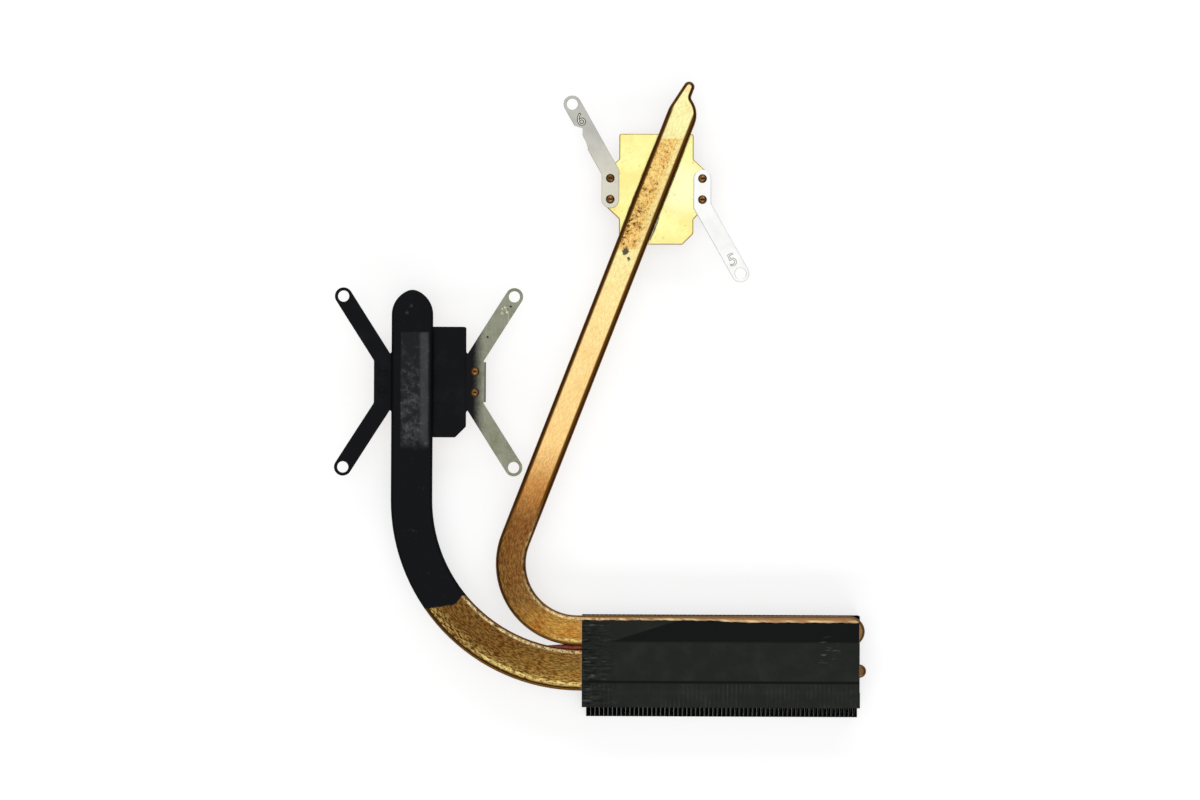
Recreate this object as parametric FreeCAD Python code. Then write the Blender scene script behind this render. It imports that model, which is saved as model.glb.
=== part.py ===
import FreeCAD, Part
import math
import os

from FreeCAD import Vector

# Laptop heatsink: two flattened heat pipes carry heat from two contact plates to one stack of fins.
# Millimetres. X and Y lie in the plane of the pipes and +Z points from the chips to the pipes.
# The origin is the centre of the processor plate's contact face.

# Contact plates: one stamped part, used at the processor and at the graphics chip
PLATE_WIDTH = 20.5
PLATE_LENGTH = 30.5
PLATE_THICKNESS = 1.5
PLATE_CHAMFER = 3.0
PLATE_CORNER_R = 0.6
PLATE_EDGE_BREAK = 0.25
EAR_REACH = 4.5
EAR_ROOT_LENGTH = 16.5
EAR_TIP_LENGTH = 8.0
GPU_X = 62.45
GPU_Y = 53.45

# Rivets through the ears
RIVET_OFFSET = 2.45
RIVET_PITCH = 5.8
RIVET_SHANK_D = 1.6
RIVET_HEAD_D = 2.4
RIVET_HEAD_H = 0.4
RIVET_RIM_H = 0.15
RIVET_DIMPLE_D = 1.1
RIVET_DIMPLE_DEPTH = 0.3
RIVET_SINK_D = 2.4
RIVET_SINK_DEPTH = 0.6
RIVET_CLEARANCE = 0.02

# Spring brackets and arms
SPRING_SHEET = 0.6
SPRING_WIDTH = 4.8
SPRING_CORNER_R = 1.0
SCREW_HOLE_D = 3.1
CPU_SCREW_PITCH = 47.0
GPU_SCREW_PITCH = 46.5
CPU_KNEE_Y = 6.5
GPU_KNEE_Y = 4.6
ROOT_BEND_Y = 9.0
PAD_BEND_Y = 16.7
PAD_RISE = 0.8
LIP_LENGTH = 11.0
LIP_DEPTH = 1.4

# Heat pipes: round tube pressed flat
PIPE_THICKNESS = 2.0
PIPE_SIDE_FLAT = 0.05
CPU_TUBE_D = 8.0
GPU_TUBE_D = 6.0
CPU_BEND_R = 46.6
GPU_BEND_R = 18.3
GPU_LEG_TILT = 21.2
GPU_LEG_SHIFT = -0.87
PIPE_GAP = 1.0

# Closed ends of the pipes
CPU_PIPE_OVERHANG = 10.1
CPU_NOSE_LENGTH = 6.9
CPU_NOSE_TIP_R = 3.5
CPU_STUB_PAST_STACK = 1.7
CPU_STUB_WIDTH = 3.7
CPU_STUB_LENGTH = 4.5
CPU_SHOULDER_LENGTH = 7.0
GPU_NOSE_PAST_STACK = 1.3
GPU_NOSE_LENGTH = 4.2
GPU_NOSE_TIP_R = 2.4
GPU_FULL_REACH = 20.8
GPU_SHOULDER_R = 7.0
GPU_NECK_R = 1.2
GPU_STUB_LENGTH = 3.6
GPU_STUB_EXTRA_WIDTH = 1.0
GPU_STUB_SHIFT = 1.05
GPU_STUB_LEAN = 12.0
GPU_STUB_BEND_R = 8.0

# Fin stack
FIN_COUNT = 64
FIN_PITCH = 1.21
FIN_SHEET = 0.2
FIN_LOCK_GAP = 0.03
STACK_X = 42.5
STACK_BACK_Y = -64.0
STACK_TOP_DEPTH = 25.2
FIN_RAKE = 3.0
FIN_HEIGHT_UNDER_PIPES = 7.0
FIN_TOP_DROP = 0.65
FIN_STEP_CLEARANCE = 0.25

# Film tape over the pipes and the fins
TAPE_THICKNESS = 0.15
TAPE_GLUE = 0.02
TAPE_BACK_INSET = 1.9
TAPE_END_INSET = 0.3
TAPE_LANDING = 1.0

# Worked out from the sizes above
PIPE_BOTTOM = PLATE_THICKNESS
PIPE_TOP = PIPE_BOTTOM + PIPE_THICKNESS
PIPE_ROUND = (PIPE_THICKNESS - PIPE_SIDE_FLAT) / 2
CPU_PIPE_WIDTH = PIPE_THICKNESS + math.pi * (CPU_TUBE_D - PIPE_THICKNESS) / 2
GPU_PIPE_WIDTH = PIPE_THICKNESS + math.pi * (GPU_TUBE_D - PIPE_THICKNESS) / 2
CPU_PIPE_X = (CPU_PIPE_WIDTH - PLATE_WIDTH) / 2
RIVET_X = PLATE_WIDTH / 2 + RIVET_OFFSET
SPRING_BOTTOM = PLATE_THICKNESS
SPRING_TOP = SPRING_BOTTOM + SPRING_SHEET
STACK_LENGTH = (FIN_COUNT - 1) * FIN_PITCH + FIN_SHEET
STACK_END_X = STACK_X + STACK_LENGTH
STACK_FRONT_Y = STACK_BACK_Y - STACK_TOP_DEPTH
GPU_RUN_Y = STACK_BACK_Y - GPU_PIPE_WIDTH / 2
CPU_RUN_Y = GPU_RUN_Y - GPU_PIPE_WIDTH / 2 - PIPE_GAP - CPU_PIPE_WIDTH / 2
FIN_SEAT_Z = PIPE_BOTTOM
FIN_BOTTOM_Z = FIN_SEAT_Z - FIN_HEIGHT_UNDER_PIPES
FIN_TOP_Z = PIPE_TOP - FIN_TOP_DROP
FIN_STEP_Y = CPU_RUN_Y - CPU_PIPE_WIDTH / 2 - FIN_STEP_CLEARANCE


# Drawing helpers

def line(a, b):
    return Part.LineSegment(a, b).toShape()


def arc(a, middle, b):
    return Part.Arc(a, middle, b).toShape()


def slab(edges, bottom, height):
    """Solid of a flat outline in XY, standing from bottom up by height."""
    solid = Part.Face(Part.Wire(edges)).extrude(Vector(0, 0, height))
    solid.translate(Vector(0, 0, bottom))
    return solid


def polygon_edges(points):
    return [line(a, b) for a, b in zip(points, points[1:] + points[:1])]


def profile_slab(points, x, width):
    """Solid of a side outline given as (y, z) points, standing from x along +X by width."""
    edges = polygon_edges([Vector(x, y, z) for y, z in points])
    return Part.Face(Part.Wire(edges)).extrude(Vector(width, 0, 0))


def cylinder(x, y, bottom, height, diameter):
    return Part.makeCylinder(diameter / 2, height, Vector(x, y, bottom))


def upright_edges(solid):
    """Straight edges along Z."""
    return [e for e in solid.Edges if e.BoundBox.XLength < 1e-6 and e.BoundBox.YLength < 1e-6]


def level_edges(solid, z):
    """Edges that lie in the plane at height z."""
    return [e for e in solid.Edges if abs(e.BoundBox.ZMin - z) < 1e-6 and abs(e.BoundBox.ZMax - z) < 1e-6]


# Heat pipes

class PipeEnd:
    """Places the outline of a closed pipe end: forward is along the pipe, aside is to its left."""

    def __init__(self, x, y, heading):
        self.base = Vector(x, y, 0)
        self.along = Vector(math.cos(heading), math.sin(heading), 0)
        self.left = Vector(-math.sin(heading), math.cos(heading), 0)

    def at(self, forward, aside):
        return self.base + self.along * forward + self.left * aside

    def nose(self, width, length, tip_r):
        """Bullet nose: two side arcs and a tip arc, from the right-hand side to the left."""
        half = width / 2
        side_r = ((length - tip_r) ** 2 + half ** 2 - tip_r ** 2) / (2 * (half - tip_r))
        lean = math.atan2(length - tip_r, side_r - half)
        joint = (side_r * math.sin(lean), half - side_r + side_r * math.cos(lean))
        middle = (side_r * math.sin(lean / 2), half - side_r + side_r * math.cos(lean / 2))
        return [
            arc(self.at(0, -half), self.at(middle[0], -middle[1]), self.at(joint[0], -joint[1])),
            arc(self.at(joint[0], -joint[1]), self.at(length, 0), self.at(*joint)),
            arc(self.at(*joint), self.at(*middle), self.at(0, half)),
        ]

    def shoulder(self, start, end, length):
        """Two equal arcs that carry one side from aside = start to aside = end, in the forward direction."""
        shift = start - end
        radius = (length ** 2 + shift ** 2) / (4 * shift)
        half_turn = math.atan2(shift, length)
        forward = radius * math.sin(half_turn)
        aside = radius * (1 - math.cos(half_turn))
        centre = self.at(length / 2, (start + end) / 2)
        return [
            arc(self.at(0, start), self.at(forward, start - aside), centre),
            arc(centre, self.at(length - forward, end + aside), self.at(length, end)),
        ]

    def neck(self, start, end, shoulder_r, neck_r):
        """A wide shoulder arc and a tight neck arc that carry the right-hand side in. Gives the arcs and their length."""
        both_r = shoulder_r + neck_r
        turn = math.acos(1 - (end - start) / both_r)
        length = both_r * math.sin(turn)

        def on_shoulder(angle):
            return self.at(shoulder_r * math.sin(angle), start + shoulder_r * (1 - math.cos(angle)))

        def on_neck(angle):
            return self.at(length - neck_r * math.sin(angle), end - neck_r * (1 - math.cos(angle)))

        arcs = [
            arc(self.at(0, start), on_shoulder(turn / 2), on_shoulder(turn)),
            arc(on_shoulder(turn), on_neck(turn / 2), self.at(length, end)),
        ]
        return arcs, length

    def stub(self, width, shoulder_length, stub_width, stub_length):
        """Shoulders down to the pinched filling stub with a round tip, from the right-hand side to the left."""
        half = width / 2
        stub_half = stub_width / 2
        straight_end = shoulder_length + stub_length - stub_half
        right = self.shoulder(-half, -stub_half, shoulder_length)
        left = self.shoulder(half, stub_half, shoulder_length)
        corners = [self.at(shoulder_length, -stub_half), self.at(straight_end, -stub_half)]
        corners += [self.at(straight_end, stub_half), self.at(shoulder_length, stub_half)]
        return right + [
            line(corners[0], corners[1]),
            arc(corners[1], self.at(shoulder_length + stub_length, 0), corners[2]),
            line(corners[2], corners[3]),
        ] + left[::-1]

    def leaning_stub(self, width, shoulder_r, neck_r, stub_width, stub_length, shift, lean, bend_r):
        """Filling stub off the axis: a curved neck on the right-hand side and a straight lean on the left."""
        half = width / 2
        stub_half = stub_width / 2
        neck, neck_length = self.neck(-half, shift - stub_half, shoulder_r, neck_r)
        tip = neck_length + stub_length - stub_half
        meet = tip + (stub_half - (half - shift) * math.cos(lean)) / math.sin(lean)
        ease = bend_r * math.tan(lean / 2)
        bend = meet - ease
        tip_right = self.at(tip, shift - stub_half)
        tip_middle = self.at(tip + stub_half * math.cos(lean / 2), shift - stub_half * math.sin(lean / 2))
        tip_left = self.at(tip + stub_half * math.sin(lean), shift + stub_half * math.cos(lean))
        bend_end = self.at(bend + bend_r * math.sin(lean), half - bend_r * (1 - math.cos(lean)))
        bend_middle = self.at(bend + bend_r * math.sin(lean / 2), half - bend_r * (1 - math.cos(lean / 2)))
        return neck + [
            line(self.at(neck_length, shift - stub_half), tip_right),
            arc(tip_right, tip_middle, tip_left),
            line(tip_left, bend_end),
            arc(bend_end, bend_middle, self.at(bend, half)),
            line(self.at(bend, half), self.at(0, half)),
        ]


def bend_arc(centre, radius, start_turn, end_turn):
    def point(turn):
        return centre + Vector(math.cos(turn), math.sin(turn), 0) * radius
    return arc(point(start_turn), point((start_turn + end_turn) / 2), point(end_turn))


def flattened_pipe(leg_end, leg_end_edges, run_end, run_end_edges, centre, radius, width, first_turn):
    """Pipe with one bend: a leg, an arc from first_turn to straight down, and a run along +X."""
    last_turn = math.radians(270)
    outer = bend_arc(centre, radius + width / 2, first_turn, last_turn)
    inner = bend_arc(centre, radius - width / 2, first_turn, last_turn)
    half = width / 2
    edges = leg_end_edges + [
        line(leg_end.at(0, half), outer.Vertexes[0].Point),
        outer,
        line(outer.Vertexes[-1].Point, run_end.at(0, -half)),
    ] + run_end_edges + [
        line(run_end.at(0, half), inner.Vertexes[-1].Point),
        inner,
        line(inner.Vertexes[0].Point, leg_end.at(0, -half)),
    ]
    solid = slab(Part.__sortEdges__(edges), PIPE_BOTTOM, PIPE_THICKNESS)
    return solid.makeFillet(PIPE_ROUND, level_edges(solid, PIPE_BOTTOM) + level_edges(solid, PIPE_TOP))


def cpu_heat_pipe():
    nose_y = PLATE_LENGTH / 2 + CPU_PIPE_OVERHANG - CPU_NOSE_LENGTH
    stub_x = STACK_END_X + CPU_STUB_PAST_STACK - CPU_STUB_LENGTH - CPU_SHOULDER_LENGTH
    top = PipeEnd(CPU_PIPE_X, nose_y, math.radians(90))
    end = PipeEnd(stub_x, CPU_RUN_Y, 0)
    return flattened_pipe(
        top, top.nose(CPU_PIPE_WIDTH, CPU_NOSE_LENGTH, CPU_NOSE_TIP_R),
        end, end.stub(CPU_PIPE_WIDTH, CPU_SHOULDER_LENGTH, CPU_STUB_WIDTH, CPU_STUB_LENGTH),
        Vector(CPU_PIPE_X + CPU_BEND_R, CPU_RUN_Y + CPU_BEND_R, 0), CPU_BEND_R, CPU_PIPE_WIDTH, math.radians(180))


def gpu_heat_pipe():
    tilt = math.radians(GPU_LEG_TILT)
    heading = math.radians(90) - tilt
    on_plate = Vector(GPU_X + GPU_LEG_SHIFT, GPU_Y, 0)
    bend_y = GPU_RUN_Y + GPU_BEND_R
    tangent_y = bend_y + GPU_BEND_R * math.sin(tilt)
    tangent_x = on_plate.x - (on_plate.y - tangent_y) * math.tan(tilt)
    centre = Vector(tangent_x + GPU_BEND_R * math.cos(tilt), bend_y, 0)
    shoulder_x = on_plate.x + GPU_FULL_REACH * math.sin(tilt)
    shoulder_y = on_plate.y + GPU_FULL_REACH * math.cos(tilt)
    top = PipeEnd(shoulder_x, shoulder_y, heading)
    end = PipeEnd(STACK_END_X + GPU_NOSE_PAST_STACK - GPU_NOSE_LENGTH, GPU_RUN_Y, 0)
    stub_width = PIPE_THICKNESS + GPU_STUB_EXTRA_WIDTH
    return flattened_pipe(
        top, top.leaning_stub(GPU_PIPE_WIDTH, GPU_SHOULDER_R, GPU_NECK_R, stub_width, GPU_STUB_LENGTH,
                              GPU_STUB_SHIFT, math.radians(GPU_STUB_LEAN), GPU_STUB_BEND_R),
        end, end.nose(GPU_PIPE_WIDTH, GPU_NOSE_LENGTH, GPU_NOSE_TIP_R),
        centre, GPU_BEND_R, GPU_PIPE_WIDTH, math.radians(180) - tilt)


# Contact plates and their rivets

def rivet_places(side):
    """The two rivet axes of one ear, from the plate's centre. side is -1 for the left ear and 1 for the right."""
    return [(side * RIVET_X, RIVET_PITCH / 2), (side * RIVET_X, -RIVET_PITCH / 2)]


def rivet(x, y):
    """Rivet with a dimpled head, set in a countersink flush with the contact face."""
    shank = RIVET_SHANK_D / 2
    head = RIVET_HEAD_D / 2
    dimple = RIVET_DIMPLE_D / 2
    head_top = SPRING_TOP + RIVET_HEAD_H
    side = [(0, 0), (RIVET_SINK_D / 2, 0), (shank, RIVET_SINK_DEPTH), (shank, SPRING_TOP), (head, SPRING_TOP),
            (head, SPRING_TOP + RIVET_RIM_H), (dimple, head_top), (0, head_top - RIVET_DIMPLE_DEPTH)]
    edges = polygon_edges([Vector(r, 0, z) for r, z in side])
    solid = Part.Face(Part.Wire(edges)).revolve(Vector(0, 0, 0), Vector(0, 0, 1), 360)
    solid.translate(Vector(x, y, 0))
    return solid


def rivet_hole(x, y):
    """Clear hole through ear and spring sheet, with the countersink on the contact side."""
    shank_d = RIVET_SHANK_D + 2 * RIVET_CLEARANCE
    sink_r = RIVET_SINK_D / 2 + RIVET_CLEARANCE
    hole = cylinder(x, y, 0, SPRING_TOP, shank_d)
    return hole.fuse(Part.makeCone(sink_r, shank_d / 2, RIVET_SINK_DEPTH, Vector(x, y, 0)))


def contact_plate():
    """Rectangle with one cut corner and a tapered ear on each long side."""
    half_x = PLATE_WIDTH / 2
    half_y = PLATE_LENGTH / 2
    ear_x = half_x + EAR_REACH
    root = EAR_ROOT_LENGTH / 2
    tip = EAR_TIP_LENGTH / 2
    right = [(half_x, -root), (ear_x, -tip), (ear_x, tip), (half_x, root)]
    left = [(-x, -y) for x, y in right]
    outline = [(-half_x, -half_y), (half_x - PLATE_CHAMFER, -half_y), (half_x, -half_y + PLATE_CHAMFER)]
    outline += right + [(half_x, half_y), (-half_x, half_y)] + left
    plate = slab(polygon_edges([Vector(x, y, 0) for x, y in outline]), 0, PLATE_THICKNESS)
    plate = plate.makeFillet(PLATE_CORNER_R, upright_edges(plate))
    plate = plate.makeChamfer(PLATE_EDGE_BREAK, level_edges(plate, PLATE_THICKNESS))
    for place in rivet_places(-1) + rivet_places(1):
        plate = plate.cut(rivet_hole(*place))
    return plate


# Spring brackets and arms

def strip(points, width, bottom, height):
    """Strip of sheet along a bent line of (x, y) points, with round ends and eased corners."""
    half = width / 2
    line_points = [Vector(x, y, 0) for x, y in points]
    ways = [(b - a).normalize() for a, b in zip(line_points, line_points[1:])]
    sides = [Vector(-w.y, w.x, 0) for w in ways]
    left = [line_points[0] + sides[0] * half]
    right = [line_points[0] - sides[0] * half]
    for p, s, t in zip(line_points[1:], sides, sides[1:]):
        mitre = (s + t) / (1 + s.dot(t))
        left.append(p + mitre * half)
        right.append(p - mitre * half)
    left.append(line_points[-1] + sides[-1] * half)
    right.append(line_points[-1] - sides[-1] * half)
    edges = [line(a, b) for a, b in zip(right, right[1:])]
    edges.append(arc(right[-1], line_points[-1] + ways[-1] * half, left[-1]))
    edges += [line(a, b) for a, b in zip(left[::-1], left[-2::-1])]
    edges.append(arc(left[0], line_points[0] - ways[0] * half, right[0]))
    solid = slab(edges, bottom, height)
    ends = [left[0], right[0], left[-1], right[-1]]
    corners = [e for e in upright_edges(solid)
               if all(math.hypot(e.CenterOfMass.x - p.x, e.CenterOfMass.y - p.y) > SPRING_CORNER_R for p in ends)]
    return solid.makeFillet(SPRING_CORNER_R, corners)


def bent_sheet(reaches_down, span):
    """Sheet bent along X: level on the ear, sloped along the arm and level again at the screw pad."""
    reach = CPU_SCREW_PITCH + SPRING_WIDTH
    up = [(ROOT_BEND_Y, 0), (PAD_BEND_Y, PAD_RISE), (reach, PAD_RISE)]
    down = [(-y, z) for y, z in up[::-1]] if reaches_down else [(-reach, 0)]
    lower = [(y, SPRING_BOTTOM + z) for y, z in down + up]
    upper = [(y, z + SPRING_SHEET) for y, z in lower[::-1]]
    return profile_slab(lower + upper, -span, 2 * span)


def spring(points, screw_places, side):
    """Spring of bent sheet along the given line, with its screw holes and the rivet holes of one ear."""
    both_ways = len(screw_places) > 1
    plan = strip(points, SPRING_WIDTH, SPRING_BOTTOM, PAD_RISE + SPRING_SHEET)
    sheet = plan.common(bent_sheet(both_ways, CPU_SCREW_PITCH))
    for x, y in screw_places:
        sheet = sheet.cut(cylinder(x, y, SPRING_BOTTOM, PAD_RISE + SPRING_SHEET, SCREW_HOLE_D))
    for place in rivet_places(side):
        sheet = sheet.cut(rivet_hole(*place))
    return sheet.removeSplitter()


def cpu_spring_bracket(side):
    """Spine on one ear and two arms that splay out to the screws."""
    screw = CPU_SCREW_PITCH / 2
    half = [(side * RIVET_X, CPU_KNEE_Y), (side * screw, screw)]
    points = [(x, -y) for x, y in half[::-1]] + half
    return spring(points, [(side * screw, screw), (side * screw, -screw)], side)


def spine_lip():
    """Short stiffening lip folded down along the outer edge of the right-hand spine."""
    x = RIVET_X + SPRING_WIDTH / 2
    lip = Part.makeBox(SPRING_SHEET, LIP_LENGTH, LIP_DEPTH + SPRING_SHEET,
                       Vector(x, -LIP_LENGTH / 2, SPRING_BOTTOM - LIP_DEPTH))
    outer_top = [e for e in level_edges(lip, SPRING_TOP) if e.BoundBox.XMin > x + SPRING_SHEET / 2]
    return lip.makeFillet(SPRING_SHEET * 0.8, outer_top)


def gpu_spring_arm():
    """Single arm on the left ear, from the lower rivet up to its screw."""
    screw = GPU_SCREW_PITCH / 2
    points = [(-RIVET_X, -RIVET_PITCH / 2), (-RIVET_X, GPU_KNEE_Y), (-screw, screw)]
    return spring(points, [(-screw, screw)], -1)


# Fin stack

def fin(x, front_bottom, flanged):
    """One fin of folded sheet: a web across the air, with flanges that space it from the next fin."""
    web = profile_slab(
        [(STACK_BACK_Y, FIN_BOTTOM_Z), (STACK_BACK_Y, FIN_SEAT_Z), (FIN_STEP_Y, FIN_SEAT_Z),
         (FIN_STEP_Y, FIN_TOP_Z), (STACK_FRONT_Y, FIN_TOP_Z), (front_bottom, FIN_BOTTOM_Z)], x, FIN_SHEET)
    if not flanged:
        return web
    reach = FIN_PITCH - FIN_LOCK_GAP
    flanges = [(front_bottom, STACK_BACK_Y, FIN_BOTTOM_Z), (FIN_STEP_Y, STACK_BACK_Y, FIN_SEAT_Z - FIN_SHEET),
               (STACK_FRONT_Y, FIN_STEP_Y, FIN_TOP_Z - FIN_SHEET)]
    boxes = [Part.makeBox(reach, back - front, FIN_SHEET, Vector(x, front, z)) for front, back, z in flanges]
    return web.fuse(boxes).removeSplitter()


def fin_x(number):
    return STACK_X + number * FIN_PITCH


def fins():
    nose_y = STACK_FRONT_Y - FIN_RAKE
    return Part.makeCompound([fin(fin_x(i), nose_y, True) for i in range(1, FIN_COUNT - 1)])


# Film tape

def fin_tape():
    """Film that lies flat on the pipes, rolls over the front pipe's edge and drops to the fin tops."""
    flat_z = PIPE_TOP + TAPE_GLUE
    land_z = FIN_TOP_Z + TAPE_GLUE
    start_y = STACK_BACK_Y - TAPE_BACK_INSET
    roll_y = CPU_RUN_Y - CPU_PIPE_WIDTH / 2 + PIPE_ROUND
    roll_z = PIPE_TOP - PIPE_ROUND
    land_y = FIN_STEP_Y - TAPE_LANDING
    inner = PIPE_ROUND + TAPE_GLUE
    outer = inner + TAPE_THICKNESS
    drop = math.hypot(land_y - roll_y, land_z - roll_z)
    slope = math.atan2(land_z - roll_z, roll_y - land_y)
    turn = math.pi / 2 - slope - math.acos(inner / drop)

    def rolled(radius, angle):
        return Vector(0, roll_y - radius * math.sin(angle), roll_z + radius * math.cos(angle))

    fold_y = land_y - TAPE_THICKNESS * math.tan(turn / 2)
    under = [Vector(0, start_y, flat_z), Vector(0, roll_y, flat_z)]
    over = [Vector(0, start_y, flat_z + TAPE_THICKNESS), Vector(0, roll_y, flat_z + TAPE_THICKNESS)]
    ends = [Vector(0, STACK_FRONT_Y, land_z), Vector(0, STACK_FRONT_Y, land_z + TAPE_THICKNESS)]
    edges = [
        line(under[0], under[1]),
        arc(under[1], rolled(inner, turn / 2), rolled(inner, turn)),
        line(rolled(inner, turn), Vector(0, land_y, land_z)),
        line(Vector(0, land_y, land_z), ends[0]),
        line(ends[0], ends[1]),
        line(ends[1], Vector(0, fold_y, land_z + TAPE_THICKNESS)),
        line(Vector(0, fold_y, land_z + TAPE_THICKNESS), rolled(outer, turn)),
        arc(rolled(outer, turn), rolled(outer, turn / 2), over[1]),
        line(over[1], over[0]),
        line(over[0], under[0]),
    ]
    film = Part.Face(Part.Wire(edges)).extrude(Vector(STACK_LENGTH - TAPE_END_INSET, 0, 0))
    film.translate(Vector(STACK_X, 0, 0))
    return film


# Every piece in its place

def at_gpu(shape):
    return shape.translated(Vector(GPU_X, GPU_Y, 0))


def turned(shape):
    return shape.rotated(Vector(0, 0, 0), Vector(0, 0, 1), 180)


nodes = {
    "cpu_heat_pipe": cpu_heat_pipe(),
    "gpu_heat_pipe": gpu_heat_pipe(),
    "cpu_contact_plate": contact_plate(),
    "gpu_contact_plate": at_gpu(contact_plate()),
    "cpu_left_spring_bracket": cpu_spring_bracket(-1),
    "cpu_right_spring_bracket": cpu_spring_bracket(1).fuse(spine_lip()).removeSplitter(),
    "gpu_upper_spring_arm": at_gpu(gpu_spring_arm()),
    "gpu_lower_spring_arm": at_gpu(turned(gpu_spring_arm())),
    "fins": fins(),
    "left_end_fin": fin(fin_x(0), STACK_FRONT_Y, True),
    "right_end_fin": fin(fin_x(FIN_COUNT - 1), STACK_FRONT_Y, False),
    "fin_tape": fin_tape(),
}
for side_name, side in (("left", -1), ("right", 1)):
    for number, (x, y) in enumerate(rivet_places(side), start=1):
        nodes[f"cpu_{side_name}_rivet_{number}"] = rivet(x, y)
        nodes[f"gpu_{side_name}_rivet_{number}"] = at_gpu(rivet(x, y))

os.makedirs("parts", exist_ok=True)
for name, shape in nodes.items():
    shape.exportStep(f"parts/{name}.step")
    print(name, "valid" if shape.isValid() else "NOT VALID", len(shape.Solids), "solids", round(shape.Volume, 2), "mm3")
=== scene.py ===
# %% [markdown]
# # Laptop heatsink
# Two flattened copper heat pipes carry heat from two contact plates to one stack of black fins.
# The CAD part comes in as a fixed frame, and this lesson gives it its finishes, its creased film,
# its stamped numbers, the relief in one arm and its solder. Lengths are written in millimetres and
# turned to metres by MM.

# %% Load the CAD part
import math

import bpy
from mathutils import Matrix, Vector, noise


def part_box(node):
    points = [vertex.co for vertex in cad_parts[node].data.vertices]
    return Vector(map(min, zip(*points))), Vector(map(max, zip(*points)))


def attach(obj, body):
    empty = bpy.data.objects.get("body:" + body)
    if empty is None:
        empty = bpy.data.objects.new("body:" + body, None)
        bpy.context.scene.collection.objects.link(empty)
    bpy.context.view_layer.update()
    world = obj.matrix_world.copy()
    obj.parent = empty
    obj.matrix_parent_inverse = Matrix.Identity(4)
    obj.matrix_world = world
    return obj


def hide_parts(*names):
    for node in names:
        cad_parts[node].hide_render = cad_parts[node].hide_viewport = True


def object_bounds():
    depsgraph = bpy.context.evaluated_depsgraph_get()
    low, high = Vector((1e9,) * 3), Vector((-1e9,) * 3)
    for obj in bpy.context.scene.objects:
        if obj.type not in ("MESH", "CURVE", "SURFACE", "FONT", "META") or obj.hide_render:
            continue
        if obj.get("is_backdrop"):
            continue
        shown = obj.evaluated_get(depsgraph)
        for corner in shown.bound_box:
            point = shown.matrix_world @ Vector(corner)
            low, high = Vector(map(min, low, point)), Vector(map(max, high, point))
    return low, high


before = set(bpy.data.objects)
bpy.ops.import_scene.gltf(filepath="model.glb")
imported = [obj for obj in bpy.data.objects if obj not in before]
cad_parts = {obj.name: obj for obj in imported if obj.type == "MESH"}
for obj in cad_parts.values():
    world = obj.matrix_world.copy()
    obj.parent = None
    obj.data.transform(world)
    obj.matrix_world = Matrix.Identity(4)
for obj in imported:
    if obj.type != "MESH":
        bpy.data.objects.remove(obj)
cad_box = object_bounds()
MM = 0.001
print("CAD pieces:", len(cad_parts), "box:", [round(x / MM, 1) for c in cad_box for x in c])

# %% [markdown]
# ## Camera
# The photograph looks almost straight down with a long lens, leaning a little to the fin side.
# A camera one metre up with a matching lens gives that flat look. Its lens follows from the width
# of table that the picture shows, so the part comes out at the photograph's scale.

# %% Camera
PHOTO_WIDTH = 1200
MM_PER_PIXEL = 0.275
AIM = Vector((47.25, -4.8, 3.0))
CAMERA_DISTANCE = 1000.0
CAMERA_TILT = math.radians(1)
CAMERA_ROLL = math.radians(0.25)
SENSOR = 36.0
bpy.ops.object.select_all(action="DESELECT")
back = Vector((0, -math.sin(CAMERA_TILT), math.cos(CAMERA_TILT)))
bpy.ops.object.camera_add(location=(AIM + back * CAMERA_DISTANCE) * MM,
                          rotation=(CAMERA_TILT, 0, CAMERA_ROLL))
camera = bpy.context.object
camera.data.sensor_width = SENSOR
camera.data.lens = SENSOR * CAMERA_DISTANCE / (PHOTO_WIDTH * MM_PER_PIXEL)
bpy.context.scene.camera = camera
print("lens", round(camera.data.lens, 1), "mm")

# %% [markdown]
# ## Helpers for finishes
# Every finish below is a small node tree. One function turns a colour as it looks on a screen
# into the linear numbers that shaders use, one adds a node, and one starts a material with the
# place on the part in millimetres, so each pattern gets its real size. A mask round one place
# serves for every stain, fleck and scuff, and a loop lays a finish's colours over one another.


# %% Helpers for finishes
def linear(hex_colour):
    """sRGB hex colour as linear RGBA."""
    parts = [int(hex_colour[i:i + 2], 16) / 255 for i in (1, 3, 5)]
    return [p / 12.92 if p <= 0.04045 else ((p + 0.055) / 1.055) ** 2.4 for p in parts] + [1.0]


def feed(tree, node, inputs):
    """Fills a node's inputs: with a number, a colour, a socket, or a node for its first live output."""
    for key, value in inputs.items():
        live = [s for s in node.inputs if s.enabled]
        socket = node.inputs[key] if isinstance(key, int) else next(s for s in live if s.name == key)
        if isinstance(value, bpy.types.Node):
            value = next(s for s in value.outputs if s.enabled)
        if isinstance(value, bpy.types.NodeSocket):
            tree.links.new(value, socket)
        else:
            socket.default_value = linear(value) if isinstance(value, str) else value


def add(tree, kind, inputs, **settings):
    """Adds one shader node with its settings and its inputs."""
    node = tree.nodes.new("ShaderNode" + kind)
    for setting, value in settings.items():
        setattr(node, setting, value)
    feed(tree, node, inputs)
    return node


def start_finish(name):
    """New material: its tree, its shader and the place on the part in millimetres."""
    material = bpy.data.materials.new(name)
    material.use_nodes = True
    tree = material.node_tree
    coordinates = add(tree, "TexCoord", {})
    place = add(tree, "VectorMath", {0: coordinates.outputs["Object"], "Scale": 1 / MM}, operation="SCALE")
    return material, tree, tree.nodes["Principled BSDF"], place


def facing_up(tree):
    """How far the surface faces up: 1 on a top, 0 on a side and -1 underneath."""
    surface = add(tree, "NewGeometry", {})
    return add(tree, "SeparateXYZ", {0: surface.outputs["Normal"]}).outputs["Z"]


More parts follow.
